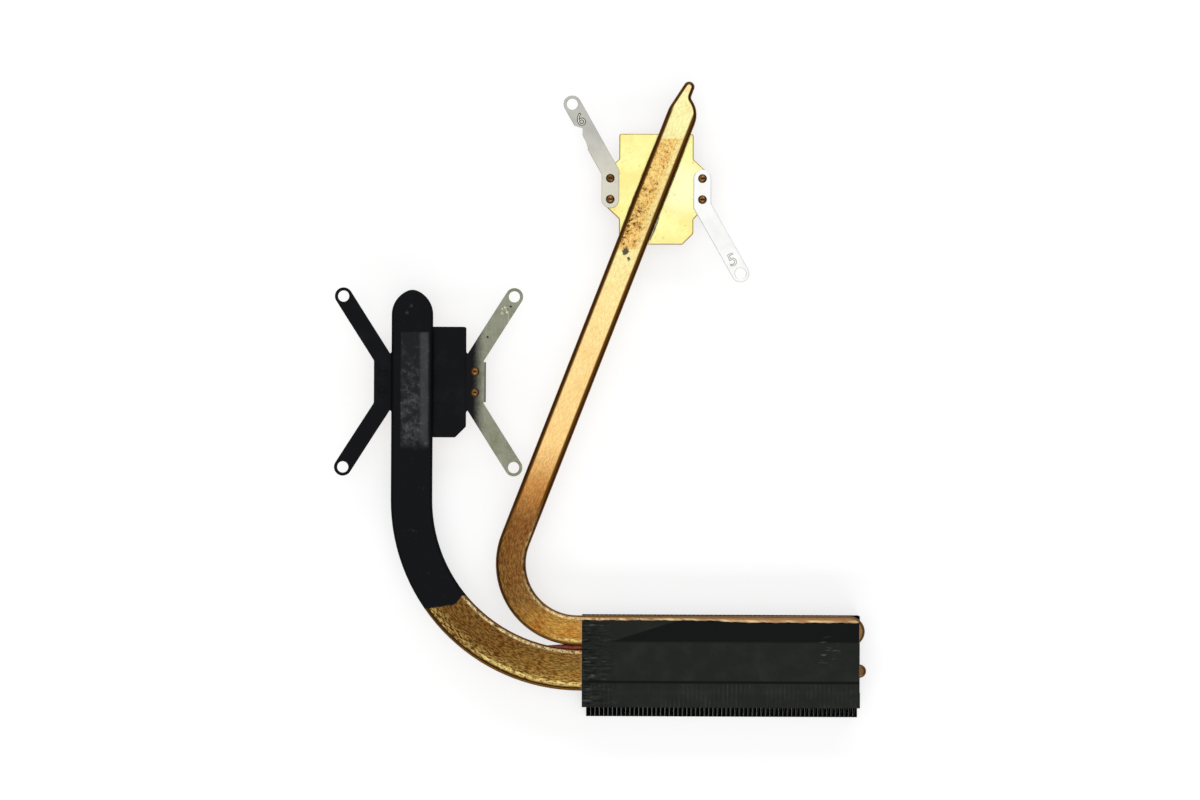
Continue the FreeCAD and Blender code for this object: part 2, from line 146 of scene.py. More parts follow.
SOFT = {"interpolation_type": "SMOOTHSTEP"}
COLOUR = {"data_type": "RGBA"}
STAIN = {"data_type": "RGBA", "blend_type": "MULTIPLY"}
TIMES = {"operation": "MULTIPLY"}
MINUS = {"operation": "SUBTRACT"}
TIMES_PLUS = {"operation": "MULTIPLY_ADD"}
DOT = {"operation": "DOT_PRODUCT"}
APART = {"operation": "DISTANCE"}
FRAY = 4.0


def spot_mask(tree, place, centre, reach, full, most=1.0, rough=0.0, **settings):
    """Mask round a place: most within full millimetres, 0 beyond reach. The rough value frays its edge."""
    away = add(tree, "VectorMath", {0: place, 1: centre}, **APART).outputs["Value"]
    frayed = add(tree, "Math", {0: rough, 1: FRAY, 2: away}, **TIMES_PLUS)
    return add(tree, "MapRange", {0: frayed, 1: reach, 2: full, 4: most}, **settings)


def around(edge, blur):
    """MapRange limits of a soft edge. With a blur below 0 the mask falls there instead of rising."""
    return {1: edge - blur, 2: edge + blur}


def layered(tree, colour, layers):
    """Lays colours over one another. A layer is its mask and its colour."""
    for mask, over in layers:
        colour = add(tree, "Mix", {"Factor": mask, "A": colour, "B": over}, **COLOUR)
    return colour


# %% [markdown]
# ## Floor and light
# The part lies on a white table under one wide soft light. The floor glows white only for the
# camera and for reflections, so it adds no light to the part and still takes its shadow. The sky
# is white overhead and dim at the sides, which gives the round flanks of the pipes their dark
# edges, and two long lamps draw the thin bright lines along the pipes.

# %% Floor and light
FLOOR_GAP = 0.05
FLOOR_SIZE = 6000.0
FLOOR_GLOW = 0.62
bpy.ops.mesh.primitive_plane_add(size=FLOOR_SIZE * MM, location=(0, 0, cad_box[0].z - FLOOR_GAP * MM))
floor = bpy.context.object
floor.name = "floor"
floor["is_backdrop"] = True

material, tree, shader, place = start_finish("white_table")
seen = add(tree, "LightPath", {})
mirrored = add(tree, "Math", {0: seen.outputs["Is Glossy Ray"], 1: seen.outputs["Is Transmission Ray"]},
               operation="ADD")
glow = add(tree, "Math", {0: seen.outputs["Is Camera Ray"], 1: mirrored}, operation="ADD")
glow_strength = add(tree, "Math", {0: glow, 1: FLOOR_GLOW}, **TIMES)
feed(tree, shader, {"Base Color": "#B8B8B8", "Roughness": 0.9, "Specular IOR Level": 0.0})
feed(tree, shader, {"Emission Color": "#FFFFFF", "Emission Strength": glow_strength})
floor.data.materials.append(material)

SKY_TOP = 1.15
SKY_SIDE = 0.15
SKY_RISE = (0.65, 0.97)
world = bpy.data.worlds.new("soft_studio")
bpy.context.scene.world = world
world.use_nodes = True
sky = world.node_tree
direction = add(sky, "TexCoord", {})
height = add(sky, "SeparateXYZ", {"Vector": direction.outputs["Generated"]})
overhead = add(sky, "MapRange", {0: height.outputs["Z"], 1: SKY_RISE[0], 2: SKY_RISE[1],
                                 3: SKY_SIDE, 4: SKY_TOP}, **SOFT)
feed(sky, sky.nodes["Background"], {"Color": "#FFFFFF", "Strength": overhead})

LAMP_DISTANCE = 900.0
LAMP_LEAN = math.radians(60)
LAMP_LENGTH = 1400.0
LAMP_WIDTH = 240.0
LAMP_POWER = 4.2
for side in (-1, 1):
    lamp_y = AIM.y + side * LAMP_DISTANCE * math.sin(LAMP_LEAN)
    spot = Vector((AIM.x, lamp_y, LAMP_DISTANCE * math.cos(LAMP_LEAN)))
    bpy.ops.object.light_add(type="AREA", location=spot * MM, rotation=(-side * LAMP_LEAN, 0, 0))
    lamp = bpy.context.object
    lamp.name = "back_lamp" if side > 0 else "front_lamp"
    lamp.data.shape = "RECTANGLE"
    lamp.data.size = LAMP_LENGTH * MM
    lamp.data.size_y = LAMP_WIDTH * MM
    lamp.data.energy = LAMP_POWER
bpy.context.scene.view_settings.view_transform = "Standard"
print("floor at", round(floor.location.z / MM, 2), "mm")

# %% [markdown]
# ## Bare copper pipe
# The pipes are drawn copper tube, filled, closed and pressed flat. Drawing leaves a grain along the
# tube, and pressing leaves a rounded edge, whose broken bright line is a painted highlight and whose
# dark rim is painted shade. Copper tarnishes from gold to brown, and a colour ramp gives the tarnish;
# on the graphics pipe the ramp also paints light, pale gold up the leg where it catches the light and
# browner at the bend that turns away from it. Real drawn grain is too fine to show here, so it is
# drawn coarser. The grain and the lines have to follow the bend, so one function works out where a
# point lies across and along the pipe, on the bend and on the straight leg.

# %% Where a point lies on a pipe
GPU_WIDTH = 8.28
CPU_WIDTH = 11.42
GPU_BEND = ((41.15, -49.84, 0), 18.3, math.radians(21.2))
CPU_BEND = ((42.06, -32.39, 0), 46.6, 0.0)


def along_pipe(tree, place, centre, bend_r, leg_tilt):
    """Distance to the left of the pipe's middle line and length along the pipe, in millimetres."""
    leg_left = (-math.cos(leg_tilt), math.sin(leg_tilt), 0)
    leg_way = (math.sin(leg_tilt), math.cos(leg_tilt), 0)
    from_centre = add(tree, "VectorMath", {0: place, 1: centre}, **MINUS)
    level = add(tree, "VectorMath", {0: from_centre, 1: (1, 1, 0)}, **TIMES)
    radius = add(tree, "VectorMath", {0: level}, operation="LENGTH").outputs["Value"]
    way = add(tree, "SeparateXYZ", {0: level})
    down = add(tree, "Math", {0: way.outputs["Y"], 1: -1.0}, **TIMES)
    turn = add(tree, "Math", {0: way.outputs["X"], 1: down}, operation="ARCTAN2")
    bend_length = add(tree, "Math", {0: turn, 1: bend_r}, **TIMES)
    leg_reach = add(tree, "VectorMath", {0: from_centre, 1: leg_left}, **DOT).outputs["Value"]
    past_bend = add(tree, "VectorMath", {0: from_centre, 1: leg_way}, **DOT).outputs["Value"]
    bend_end = -(math.pi / 2 + leg_tilt) * bend_r
    leg_length = add(tree, "Math", {0: bend_end, 1: past_bend}, **MINUS)
    straight = add(tree, "Math", {0: past_bend, 1: 0.0}, operation="GREATER_THAN")
    reach = add(tree, "Mix", {"Factor": straight, "A": radius, "B": leg_reach})
    length = add(tree, "Mix", {"Factor": straight, "A": bend_length, "B": leg_length})
    aside = add(tree, "Math", {0: reach, 1: bend_r}, **MINUS)
    return aside, length


# %% [markdown]
# The shared copper starts from the tarnish, lays clouds and the drawn grain over it, then a painted
# gold sheen towards the outer side, painted highlights inside both edges of the bend, and painted
# shade on the outer rim and the round flanks. Over the fins the copper is duller, with one painted
# highlight line beside the film. The painted highlights show only towards the fins, so each begins
# at an x of its own. On the straight leg leg_share is 1, and the lines and most of the grain fade out.

# %% Copper that both pipes share
COPPER_LOW_Y = -90.0
COPPER_HIGH_Y = 85.0
FLANK_SHADE_BROWN = "#6E4A1E"
RIM_SHADE_BROWN = "#36240C"
SHEEN_HIGHLIGHT_GOLD = "#C9AA62"
OUTER_HIGHLIGHT_GOLD = "#F0D888"
INNER_HIGHLIGHT_CREAM = "#F4DDA6"
COOL_STRIP = "#9C7656"
COOL_END = "#7A5E44"
COOL_SHARE = 0.8
STRIP_HIGHLIGHT_CREAM = "#F0D6A4"
STRIP_LINE_X = (70.0, 90.0)
STRIP_LINE_Y = (-64.95, -65.4)
STRIP_HALF_WIDTHS = (0.4, 0.15)
STACK_X = 42.5
STACK_END_X = 118.9
STACK_BACK_Y = -64.0
BLOTCH = 5.0
GRAIN_ACROSS = 0.4
GRAIN_ALONG = 1.5
LINE_HALF_WIDTH = 0.42
LINE_BLUR = 0.15
LINE_WANDER = 1.4
LINE_RISE = 8.0
BREAKS_STRETCH = 2.2
INNER_LINE = 0.82
OUTER_LINE_SHARE = 0.155
OUTER_RIM_SHARE = 0.095
OUTSIDE_SHARE = 0.3
SHEEN_SHARES = (0.1, 0.36)
RIM_BLUR = 0.2


def drawn_copper(tree, place, spot, stops, grain_share, leg_share, sheen_share, lines_x, aside, length,
                 width):
    """Colour, roughness and dents of pressed tube, with painted highlights, sheen and shade. The stops give
    the tarnish, with any painted light, as (y in mm, colour).
    """
    along = add(tree, "MapRange", {0: spot.outputs["Y"], 1: COPPER_LOW_Y, 2: COPPER_HIGH_Y})
    ramp = add(tree, "ValToRGB", {0: along})
    elements = ramp.color_ramp.elements
    while len(elements) < len(stops):
        elements.new(1.0)
    for element, (y, colour) in zip(elements, stops):
        element.position = (y - COPPER_LOW_Y) / (COPPER_HIGH_Y - COPPER_LOW_Y)
        element.color = linear(colour)
    blotches = add(tree, "TexNoise", {"Vector": place, "Scale": 1 / BLOTCH, "Detail": 5, "Roughness": 0.65})
    cloud_most = add(tree, "MapRange", {0: leg_share, 3: 1.0, 4: 0.25})
    cloud = add(tree, "MapRange", {0: blotches, 1: 0.45, 2: 0.75, 4: cloud_most}, **SOFT)
    cloudy = add(tree, "Mix", {"Factor": cloud, "A": ramp, "B": "#E6BE92"}, **STAIN)
    grain_x = add(tree, "Math", {0: aside, 1: GRAIN_ACROSS}, operation="DIVIDE")
    grain_y = add(tree, "Math", {0: length, 1: GRAIN_ALONG}, operation="DIVIDE")
    grain_place = add(tree, "CombineXYZ", {"X": grain_x, "Y": grain_y})
    grain = add(tree, "TexNoise", {"Vector": grain_place, "Scale": 1.0, "Detail": 3, "Roughness": 0.75})
    shade = add(tree, "MapRange", {0: grain, 1: 0.43, 2: 0.62, 3: 0.5, 4: 2.1})
    grainy = add(tree, "Mix", {"Factor": grain_share, "A": cloudy, "B": shade}, **STAIN)

    off_leg = add(tree, "Math", {0: 1.0, 1: leg_share}, **MINUS)
    # Painted sheen: gold glints towards the outer side stand in for light on the curved flank.
    glint = add(tree, "MapRange", {0: grain, 1: 0.44, 2: 0.62, 4: off_leg}, **SOFT)
    sheen_start, sheen_end = (share * width for share in SHEEN_SHARES)
    outer_side = add(tree, "MapRange", {0: aside, 1: sheen_start, 2: sheen_end, 3: 0.08, 4: sheen_share})
    sheen = add(tree, "Math", {0: glint, 1: outer_side}, **TIMES)
    outside = add(tree, "MapRange", {0: aside, 1: 0.0, 2: OUTSIDE_SHARE * width, 4: off_leg})
    browner = add(tree, "Mix", {"Factor": outside, "A": grainy, "B": "#E2DAD0"}, **STAIN)
    layers = [(sheen, SHEEN_HIGHLIGHT_GOLD)]

    # Painted highlights: broken bright lines inside both edges of the bend, showing only towards the fins.
    breaks_x = add(tree, "Math", {0: length, 1: BREAKS_STRETCH}, operation="DIVIDE")
    breaks_place = add(tree, "CombineXYZ", {"X": breaks_x})
    patchiness = add(tree, "TexNoise", {"Vector": breaks_place, "Scale": 1.0, "Detail": 3, "Roughness": 0.7})
    uneven = add(tree, "MapRange", {0: patchiness, 1: 0.4, 2: 0.56, 3: 0.25, 4: off_leg}, **SOFT)
    broken = add(tree, "MapRange", {0: grain, 1: 0.38, 2: 0.52, 4: uneven}, **SOFT)
    unsteady = add(tree, "Math", {0: grain, 1: LINE_WANDER, 2: aside}, **TIMES_PLUS)
    highlight_lines = ((INNER_LINE - width / 2, INNER_HIGHLIGHT_CREAM), ((0.5 - OUTER_LINE_SHARE) * width, OUTER_HIGHLIGHT_GOLD))
    for (line, line_colour), start_x in zip(highlight_lines, lines_x):
        off_line = add(tree, "Math", {0: unsteady, 1: line + LINE_WANDER / 2}, **MINUS)
        gap = add(tree, "Math", {0: off_line}, operation="ABSOLUTE")
        on_line = add(tree, "MapRange", {0: gap, **around(LINE_HALF_WIDTH, -LINE_BLUR), 4: broken})
        highlight_here = add(tree, "MapRange", {0: spot.outputs["X"], 1: start_x, 2: start_x + LINE_RISE, 4: on_line},
                    **SOFT)
        layers.append((highlight_here, line_colour))
    # Painted shade: a dark brown rim along the outer edge.
    rim = (0.5 - OUTER_RIM_SHARE) * width
    rim_shade = add(tree, "MapRange", {0: aside, **around(rim, RIM_BLUR), 4: off_leg}, **SOFT)

    past_edge = add(tree, "MapRange", {0: spot.outputs["X"], **around(STACK_X, 1), 4: COOL_SHARE})
    at_stack = add(tree, "Math", {0: spot.outputs["Y"], 1: STACK_BACK_Y + 1}, operation="LESS_THAN")
    over_fins = add(tree, "Math", {0: past_edge, 1: at_stack}, **TIMES)
    past_end = add(tree, "MapRange", {0: spot.outputs["X"], 1: STACK_END_X - 1, 2: STACK_END_X}, **SOFT)
    cool = add(tree, "Mix", {"Factor": past_end, "A": COOL_STRIP, "B": COOL_END}, **COLOUR)
    # Painted highlight: one broken bright line along the pipe beside the film, over the fins.
    strip_y = add(tree, "MapRange", {0: spot.outputs["X"], 1: STRIP_LINE_X[0], 2: STRIP_LINE_X[1],
                                     3: STRIP_LINE_Y[0], 4: STRIP_LINE_Y[1]}, **SOFT)
    strip_off = add(tree, "Math", {0: spot.outputs["Y"], 1: strip_y}, **MINUS)
    strip_gap = add(tree, "Math", {0: strip_off}, operation="ABSOLUTE")
    strip_highlight_breaks = add(tree, "MapRange", {0: patchiness, 1: 0.4, 2: 0.6, 4: over_fins}, **SOFT)
    strip_highlight = add(tree, "MapRange", {0: strip_gap, 1: STRIP_HALF_WIDTHS[0], 2: STRIP_HALF_WIDTHS[1],
                                        4: strip_highlight_breaks}, **SOFT)

    # Painted shade: the round flanks turn brown as they turn away from facing up.
    level = add(tree, "Math", {0: facing_up(tree)}, operation="ABSOLUTE")
    rim_start = add(tree, "MapRange", {0: leg_share, 3: 0.97, 4: 0.995})
    rim_end = add(tree, "MapRange", {0: leg_share, 3: 0.8, 4: 0.955})
    flank_shade = add(tree, "MapRange", {0: level, 1: rim_start, 2: rim_end}, **SOFT)
    layers += [(rim_shade, RIM_SHADE_BROWN), (over_fins, cool), (strip_highlight, STRIP_HIGHLIGHT_CREAM), (flank_shade, FLANK_SHADE_BROWN)]
    colour = layered(tree, browner, layers)
    rough = add(tree, "MapRange", {0: grain, 1: 0.3, 2: 0.75, 3: 0.28, 4: 0.48})
    dents = add(tree, "Bump", {"Height": grain, "Strength": 0.3, "Distance": 0.05 * MM})
    return colour, rough, dents


# %% Bare copper of the graphics pipe
# Tarnish and painted light: pale gold up the leg where it catches the light, browner at the bend that turns
# away.
GPU_TARNISH_AND_LIGHT = [(-68, "#B8893F"), (-60, "#7C582D"), (-50, "#785128"), (-38, "#83572B"), (-28, "#C28A4A"),
               (-17, "#F8CE88"), (20, "#FEE09B"), (45, "#F3EAA6"), (80, "#FAF3B0")]
GPU_LINES_X = (24.0, 32.0)
GPU_SHEEN = 0.2
LEG_START_Y = (-46.0, -30.0)
GRAIN_FADE_Y = (-45.0, -15.0)
GRAIN_FADE = (0.6, 0.2)
material, tree, shader, place = start_finish("bare_drawn_copper")
spot = add(tree, "SeparateXYZ", {0: place})
aside, length = along_pipe(tree, place, *GPU_BEND)
on_leg = add(tree, "MapRange", {0: spot.outputs["Y"], 1: LEG_START_Y[0], 2: LEG_START_Y[1]}, **SOFT)
grain_share = add(tree, "MapRange", {0: spot.outputs["Y"], 1: GRAIN_FADE_Y[0], 2: GRAIN_FADE_Y[1],
                                     3: GRAIN_FADE[0], 4: GRAIN_FADE[1]})
colour, rough, dents = drawn_copper(tree, place, spot, GPU_TARNISH_AND_LIGHT, grain_share, on_leg, GPU_SHEEN,
                                    GPU_LINES_X, aside, length, GPU_WIDTH)

# %% [markdown]
# Under the plate's length the pipe was pressed and heated, which left a patch of deeper orange with
# dark specks, paler along its right side. It ends in straight lines, so two soft steps along Y cut
# it out. Bands of painted shade darken the leg's round sides at set distances from the pipe's middle
# line, and two dark flecks sit below the plate. At the pinched tip the sides carry the same painted
# shade and the very end is pinkish.

# %% Pressed patch of the graphics pipe
PRESSED_LOW_Y = 36.7
PRESSED_HIGH_Y = 67.2
PRESSED_EDGE = 0.15
PALE_SIDE = (-2.2, -0.6)
FRECKLE = 0.8
SPECK = 1.1
CLUSTER = 3.5
SPECKS_Y = (60.0, 38.0)
SPECKS_FROM = (0.69, 0.635)
above = add(tree, "MapRange", {0: spot.outputs["Y"], **around(PRESSED_LOW_Y, PRESSED_EDGE)})
below = add(tree, "MapRange", {0: spot.outputs["Y"], **around(PRESSED_HIGH_Y, -PRESSED_EDGE)})
heat = add(tree, "MapRange", {0: aside, 1: PALE_SIDE[0], 2: PALE_SIDE[1], 3: 0.4}, **SOFT)
between = add(tree, "Math", {0: above, 1: below}, **TIMES)
pressed = add(tree, "Math", {0: between, 1: heat}, **TIMES)
heated = add(tree, "Mix", {"Factor": pressed, "A": colour, "B": "#FFE2C4"}, **STAIN)
freckles = add(tree, "TexNoise", {"Vector": place, "Scale": 1 / FRECKLE, "Detail": 5, "Roughness": 0.8})
freckle = add(tree, "MapRange", {0: freckles, 1: 0.46, 2: 0.62, 4: 0.85}, **SOFT)
freckle_here = add(tree, "Math", {0: pressed, 1: freckle}, **TIMES)
specks = add(tree, "TexNoise", {"Vector": place, "Scale": 1 / SPECK, "Detail": 8, "Roughness": 0.85})
clusters = add(tree, "TexNoise", {"Vector": place, "Scale": 1 / CLUSTER, "Detail": 2})
clustered = add(tree, "Math", {0: clusters, 1: 0.25, 2: specks}, **TIMES_PLUS)
dense = add(tree, "Math", {0: aside, 1: 0.012, 2: clustered}, **TIMES_PLUS)
speck_start = add(tree, "MapRange", {0: spot.outputs["Y"], 1: SPECKS_Y[0], 2: SPECKS_Y[1],
                                     3: SPECKS_FROM[0], 4: SPECKS_FROM[1]})
speck_end = add(tree, "Math", {0: speck_start, 1: 0.06}, operation="ADD")
speck = add(tree, "MapRange", {0: dense, 1: speck_start, 2: speck_end, 4: pressed}, **SOFT)
leg_speck = add(tree, "MapRange", {0: specks, 1: 0.62, 2: 0.68, 4: 0.45}, **SOFT)
leg_speck_here = add(tree, "Math", {0: leg_speck, 1: on_leg}, **TIMES)
marks = [(freckle_here, "#C28232"), (speck, "#5E360C"), (leg_speck_here, "#7E5426")]

# %% Flecks and painted side shade of the graphics pipe
LEFT_BAND = 2.95
RIGHT_BAND = 2.75
BAND_EDGE = 0.25
LEG_SIDE_SHADE_BROWN = "#5C3810"
BAND_TOP_Y = 76.0
BAND_FADE = 1.5
TIP_SIDE_Y = (70.0, 74.0)
TIP_LEVEL = (0.9995, 0.985)
TIP_PINK_Y = (79.3, 81.0)
PIPE_TOP = 3.5
FLECK_BROWN = "#5E5242"
FLECK_GRAIN = 2.0
FLECK_EDGE = (2.2, 1.9)
FLECKS = [(54.1, 36.2, 0.9), (54.9, 34.0, 0.3)]
stains = add(tree, "TexNoise", {"Vector": place, "Scale": 1 / FLECK_GRAIN, "Detail": 8, "Roughness": 0.9})
for x, y, size in FLECKS:
    dirt = spot_mask(tree, place, (x, y, PIPE_TOP), FLECK_EDGE[0] + size, FLECK_EDGE[1] + size,
                     rough=stains, **SOFT)
    marks.append((dirt, FLECK_BROWN))
# Painted shade: brown bands along the leg's round sides, and the same brown on the tip's sides.
left_side_shade = add(tree, "MapRange", {0: aside, **around(LEFT_BAND, BAND_EDGE)}, **SOFT)
right_side_shade = add(tree, "MapRange", {0: aside, **around(-RIGHT_BAND, -BAND_EDGE)}, **SOFT)
side_shades = add(tree, "Math", {0: left_side_shade, 1: right_side_shade}, operation="MAXIMUM")
below_tip = add(tree, "MapRange", {0: spot.outputs["Y"], **around(BAND_TOP_Y, -BAND_FADE)}, **SOFT)
band_share = add(tree, "Math", {0: on_leg, 1: below_tip}, **TIMES)
side_shades_here = add(tree, "Math", {0: side_shades, 1: band_share}, **TIMES)
edged = layered(tree, heated, marks + [(side_shades_here, LEG_SIDE_SHADE_BROWN)])
pink = add(tree, "MapRange", {0: spot.outputs["Y"], 1: TIP_PINK_Y[0], 2: TIP_PINK_Y[1]}, **SOFT)
pinched = add(tree, "Mix", {"Factor": pink, "A": edged, "B": "#FFE9EE"}, **STAIN)
near_tip = add(tree, "MapRange", {0: spot.outputs["Y"], 1: TIP_SIDE_Y[0], 2: TIP_SIDE_Y[1]}, **SOFT)
tip_side_shade = add(tree, "MapRange", {0: facing_up(tree), 1: TIP_LEVEL[0], 2: TIP_LEVEL[1], 4: near_tip}, **SOFT)
tipped = add(tree, "Mix", {"Factor": tip_side_shade, "A": pinched, "B": LEG_SIDE_SHADE_BROWN}, **COLOUR)
feed(tree, shader, {"Base Color": tipped, "Metallic": 1.0, "Roughness": rough, "Normal": dents})
bare_copper = material
print("bare copper with", len(GPU_TARNISH_AND_LIGHT), "tarnish colours")

# %% [markdown]
# ## Painted copper pipe
# The processor pipe was sprayed matt black with its plate, down to a masked line across the bend.
# Below the line the copper is bare and brown. The same copper function is used, and a mask that
# follows the line lays the paint over it. Matt paint scatters nearly all the light that it sends
# back, so its specular level is low. A rubbed grey patch lies where a pad was pressed on, lint
# clings to the paint, and two smudges lie near the nose.

# %% Painted copper of the processor pipe
CPU_TARNISH = [(-84, "#A88440"), (-79, "#80602C"), (-72, "#6A4A21"), (-60, "#67471F"), (60, "#7E5828")]
CPU_LINES_X = (0.0, 10.0)
PAINT_BLACK = "#0D0E11"
MATT_SPECULAR = 0.09
PAINT_LINE_Y = 62.3
PAINT_LINE_SLOPE = -0.16
PAINT_CORNER_X = (7.2, 10.0)
PAINT_CORNER_RISE = 2.0
PAINT_WOBBLE = 2.0
PAINT_RAGGEDNESS = 1.2
material, tree, shader, place = start_finish("sprayed_black_copper")
spot = add(tree, "SeparateXYZ", {0: place})
aside, length = along_pipe(tree, place, *CPU_BEND)
colour, rough, dents = drawn_copper(tree, place, spot, CPU_TARNISH, grain_share=0.9, leg_share=0.0,
                                    sheen_share=1.0, lines_x=CPU_LINES_X, aside=aside, length=length,
                                    width=CPU_WIDTH)
wobble = add(tree, "TexNoise", {"Vector": place, "Scale": 1 / PAINT_WOBBLE, "Detail": 3})
line_y = add(tree, "Math", {0: spot.outputs["X"], 1: PAINT_LINE_SLOPE, 2: PAINT_LINE_Y}, **TIMES_PLUS)
above_line = add(tree, "Math", {0: spot.outputs["Y"], 1: line_y}, operation="ADD")
corner = add(tree, "MapRange", {0: spot.outputs["X"], 1: PAINT_CORNER_X[0], 2: PAINT_CORNER_X[1],
                                4: PAINT_CORNER_RISE}, **SOFT)
cornered = add(tree, "Math", {0: above_line, 1: corner}, **MINUS)
ragged = add(tree, "Math", {0: wobble, 1: PAINT_RAGGEDNESS, 2: cornered}, **TIMES_PLUS)
painted = add(tree, "MapRange", {0: ragged, 1: 0.45, 2: 0.75}, **SOFT)

# %% Rubbed patch on the painted pipe
PATCH_X = (-7.6, 0.1)
PATCH_Y = (-17.0, 13.6)
PATCH_EDGE = 0.2
PATCH_FADE = 2.0
PATCH_STRIP_X = -1.2
PATCH_STRIP_REACH = (1.6, 0.6)
RUB = 2.6
LINT = 1.3
SMUDGES = [(-4.7, 20.9, 0.5), (-5.9, 18.9, 0.2)]
SMUDGE_EDGE = (2.3, 1.6)
SMUDGE_MOST = 0.6
left = add(tree, "MapRange", {0: spot.outputs["X"], **around(PATCH_X[0], PATCH_EDGE)})
right = add(tree, "MapRange", {0: spot.outputs["X"], **around(PATCH_X[1], -PATCH_EDGE)})
low = add(tree, "MapRange", {0: spot.outputs["Y"], **around(PATCH_Y[0], PATCH_FADE)}, **SOFT)
high = add(tree, "MapRange", {0: spot.outputs["Y"], **around(PATCH_Y[1], -PATCH_EDGE)})
width_share = add(tree, "Math", {0: left, 1: right}, **TIMES)
length_share = add(tree, "Math", {0: low, 1: high}, **TIMES)
patch = add(tree, "Math", {0: width_share, 1: length_share}, **TIMES)
dusted = add(tree, "MapRange", {0: patch, 4: 0.3})
rub = add(tree, "TexNoise", {"Vector": place, "Scale": 1 / RUB, "Detail": 10, "Roughness": 0.85})
rub_low = add(tree, "Math", {0: spot.outputs["Y"], 1: -0.003, 2: rub}, **TIMES_PLUS)
rubbed = add(tree, "MapRange", {0: rub_low, 1: 0.46, 2: 0.8}, **SOFT)
off_strip = add(tree, "Math", {0: spot.outputs["X"], 1: PATCH_STRIP_X}, **MINUS)
from_strip = add(tree, "Math", {0: off_strip}, operation="ABSOLUTE")
strip_most = add(tree, "MapRange", {0: rub, 1: 0.35, 2: 0.6, 3: 0.16, 4: 0.34})
strip = add(tree, "MapRange", {0: from_strip, 1: PATCH_STRIP_REACH[0], 2: PATCH_STRIP_REACH[1],
                               4: strip_most}, **SOFT)
rubbed_most = add(tree, "Math", {0: rubbed, 1: strip}, operation="MAXIMUM")
grey = add(tree, "Math", {0: rubbed_most, 1: patch}, **TIMES)
lint = add(tree, "TexNoise", {"Vector": place, "Scale": 1 / LINT, "Detail": 6, "Roughness": 0.8})
lint_here = add(tree, "MapRange", {0: lint, 1: 0.62, 2: 0.72, 4: 0.6}, **SOFT)
marks = [(dusted, "#35363A"), (grey, "#6C6D70"), (lint_here, "#4E5054")]
for x, y, size in SMUDGES:
    smudge = spot_mask(tree, place, (x, y, PIPE_TOP), SMUDGE_EDGE[0] + size, SMUDGE_EDGE[1] + size,
                       SMUDGE_MOST, rough=rub, **SOFT)
    marks.append((smudge, "#4A4B50"))
# Painted shade: the paint turns near black on the pipe's round flanks.
side = add(tree, "MapRange", {0: facing_up(tree), 1: 0.98, 2: 0.8}, **SOFT)
coat = layered(tree, PAINT_BLACK, marks + [(side, "#050607")])
feed(tree, shader, {"Base Color": add(tree, "Mix", {"Factor": painted, "A": colour, "B": coat}, **COLOUR),
                    "Metallic": add(tree, "Math", {0: 1.0, 1: painted}, **MINUS),
                    "Roughness": add(tree, "Mix", {"Factor": painted, "A": rough, "B": 0.6}),
                    "Normal": dents, "Specular IOR Level": MATT_SPECULAR})
painted_pipe = material
print("paint ends at y =", -PAINT_LINE_Y, "mm where x is 0")

# %% [markdown]
# ## Matt black spray paint
# The processor plate and its left bracket are one even coat of the same matt black, sprayed from
# above, so their undersides stay bare metal. Faint dusty clouds and a fine orange peel keep the
# paint from looking like a hole in the picture. One function gives it over copper and over steel.

# %% Matt black spray paint
ORANGE_PEEL = 0.6
DUST_CLOUD = 7.0


def sprayed_black(name, bare_metal):
    """Matt black coat on all but the underside, which shows the bare metal."""
    material, tree, shader, place = start_finish(name)
    dust = add(tree, "TexNoise", {"Vector": place, "Scale": 1 / DUST_CLOUD, "Detail": 5, "Roughness": 0.65})
    peel = add(tree, "TexNoise", {"Vector": place, "Scale": 1 / ORANGE_PEEL, "Detail": 2})
    dusted = add(tree, "MapRange", {0: dust, 1: 0.5, 2: 0.8}, **SOFT)
    coat = add(tree, "Mix", {"Factor": dusted, "A": PAINT_BLACK, "B": "#17191D"}, **COLOUR)
    tarnish = add(tree, "Mix", {"Factor": dust, "A": bare_metal, "B": "#8A7B66"}, **COLOUR)
    bare = add(tree, "MapRange", {0: facing_up(tree), 1: -0.6, 2: -0.9}, **SOFT)
    bumps = add(tree, "Bump", {"Height": peel, "Strength": 0.2, "Distance": 0.03 * MM})
    feed(tree, shader, {"Base Color": add(tree, "Mix", {"Factor": bare, "A": coat, "B": tarnish}, **COLOUR),
                        "Metallic": bare, "Specular IOR Level": MATT_SPECULAR, "Normal": bumps,
                        "Roughness": add(tree, "MapRange", {0: bare, 3: 0.6, 4: 0.35})})
    return material


black_on_copper = sprayed_black("matt_black_paint_on_copper", "#D79A62")
black_on_steel = sprayed_black("matt_black_paint_on_steel", "#B4B3A8")
print("finishes:", black_on_copper.name, black_on_steel.name)

# %% [markdown]
# ## Pale gold plate
# The graphics plate is copper alloy with a pale yellow finish, smooth from stamping. Soft clouds
# of deeper yellow lie on it, a painted highlight pales it right of the pipe, its edges and sides are
# brown, and dirt dots its top.

# %% Pale gold plate
PLATE_HIGHLIGHT_PLACE = (69.5, 54.0, 1.5)
PLATE_HIGHLIGHT_REACH = 10.0
PLATE_HIGHLIGHT_MOST = 0.75
PLATE_CLOUD = 7.0
PLATE_GRAIN = 0.9
material, tree, shader, place = start_finish("pale_gold_copper_alloy")
clouds = add(tree, "TexNoise", {"Vector": place, "Scale": 1 / PLATE_CLOUD, "Detail": 5, "Roughness": 0.65})
cloud = add(tree, "MapRange", {0: clouds, 1: 0.36, 2: 0.62}, **SOFT)
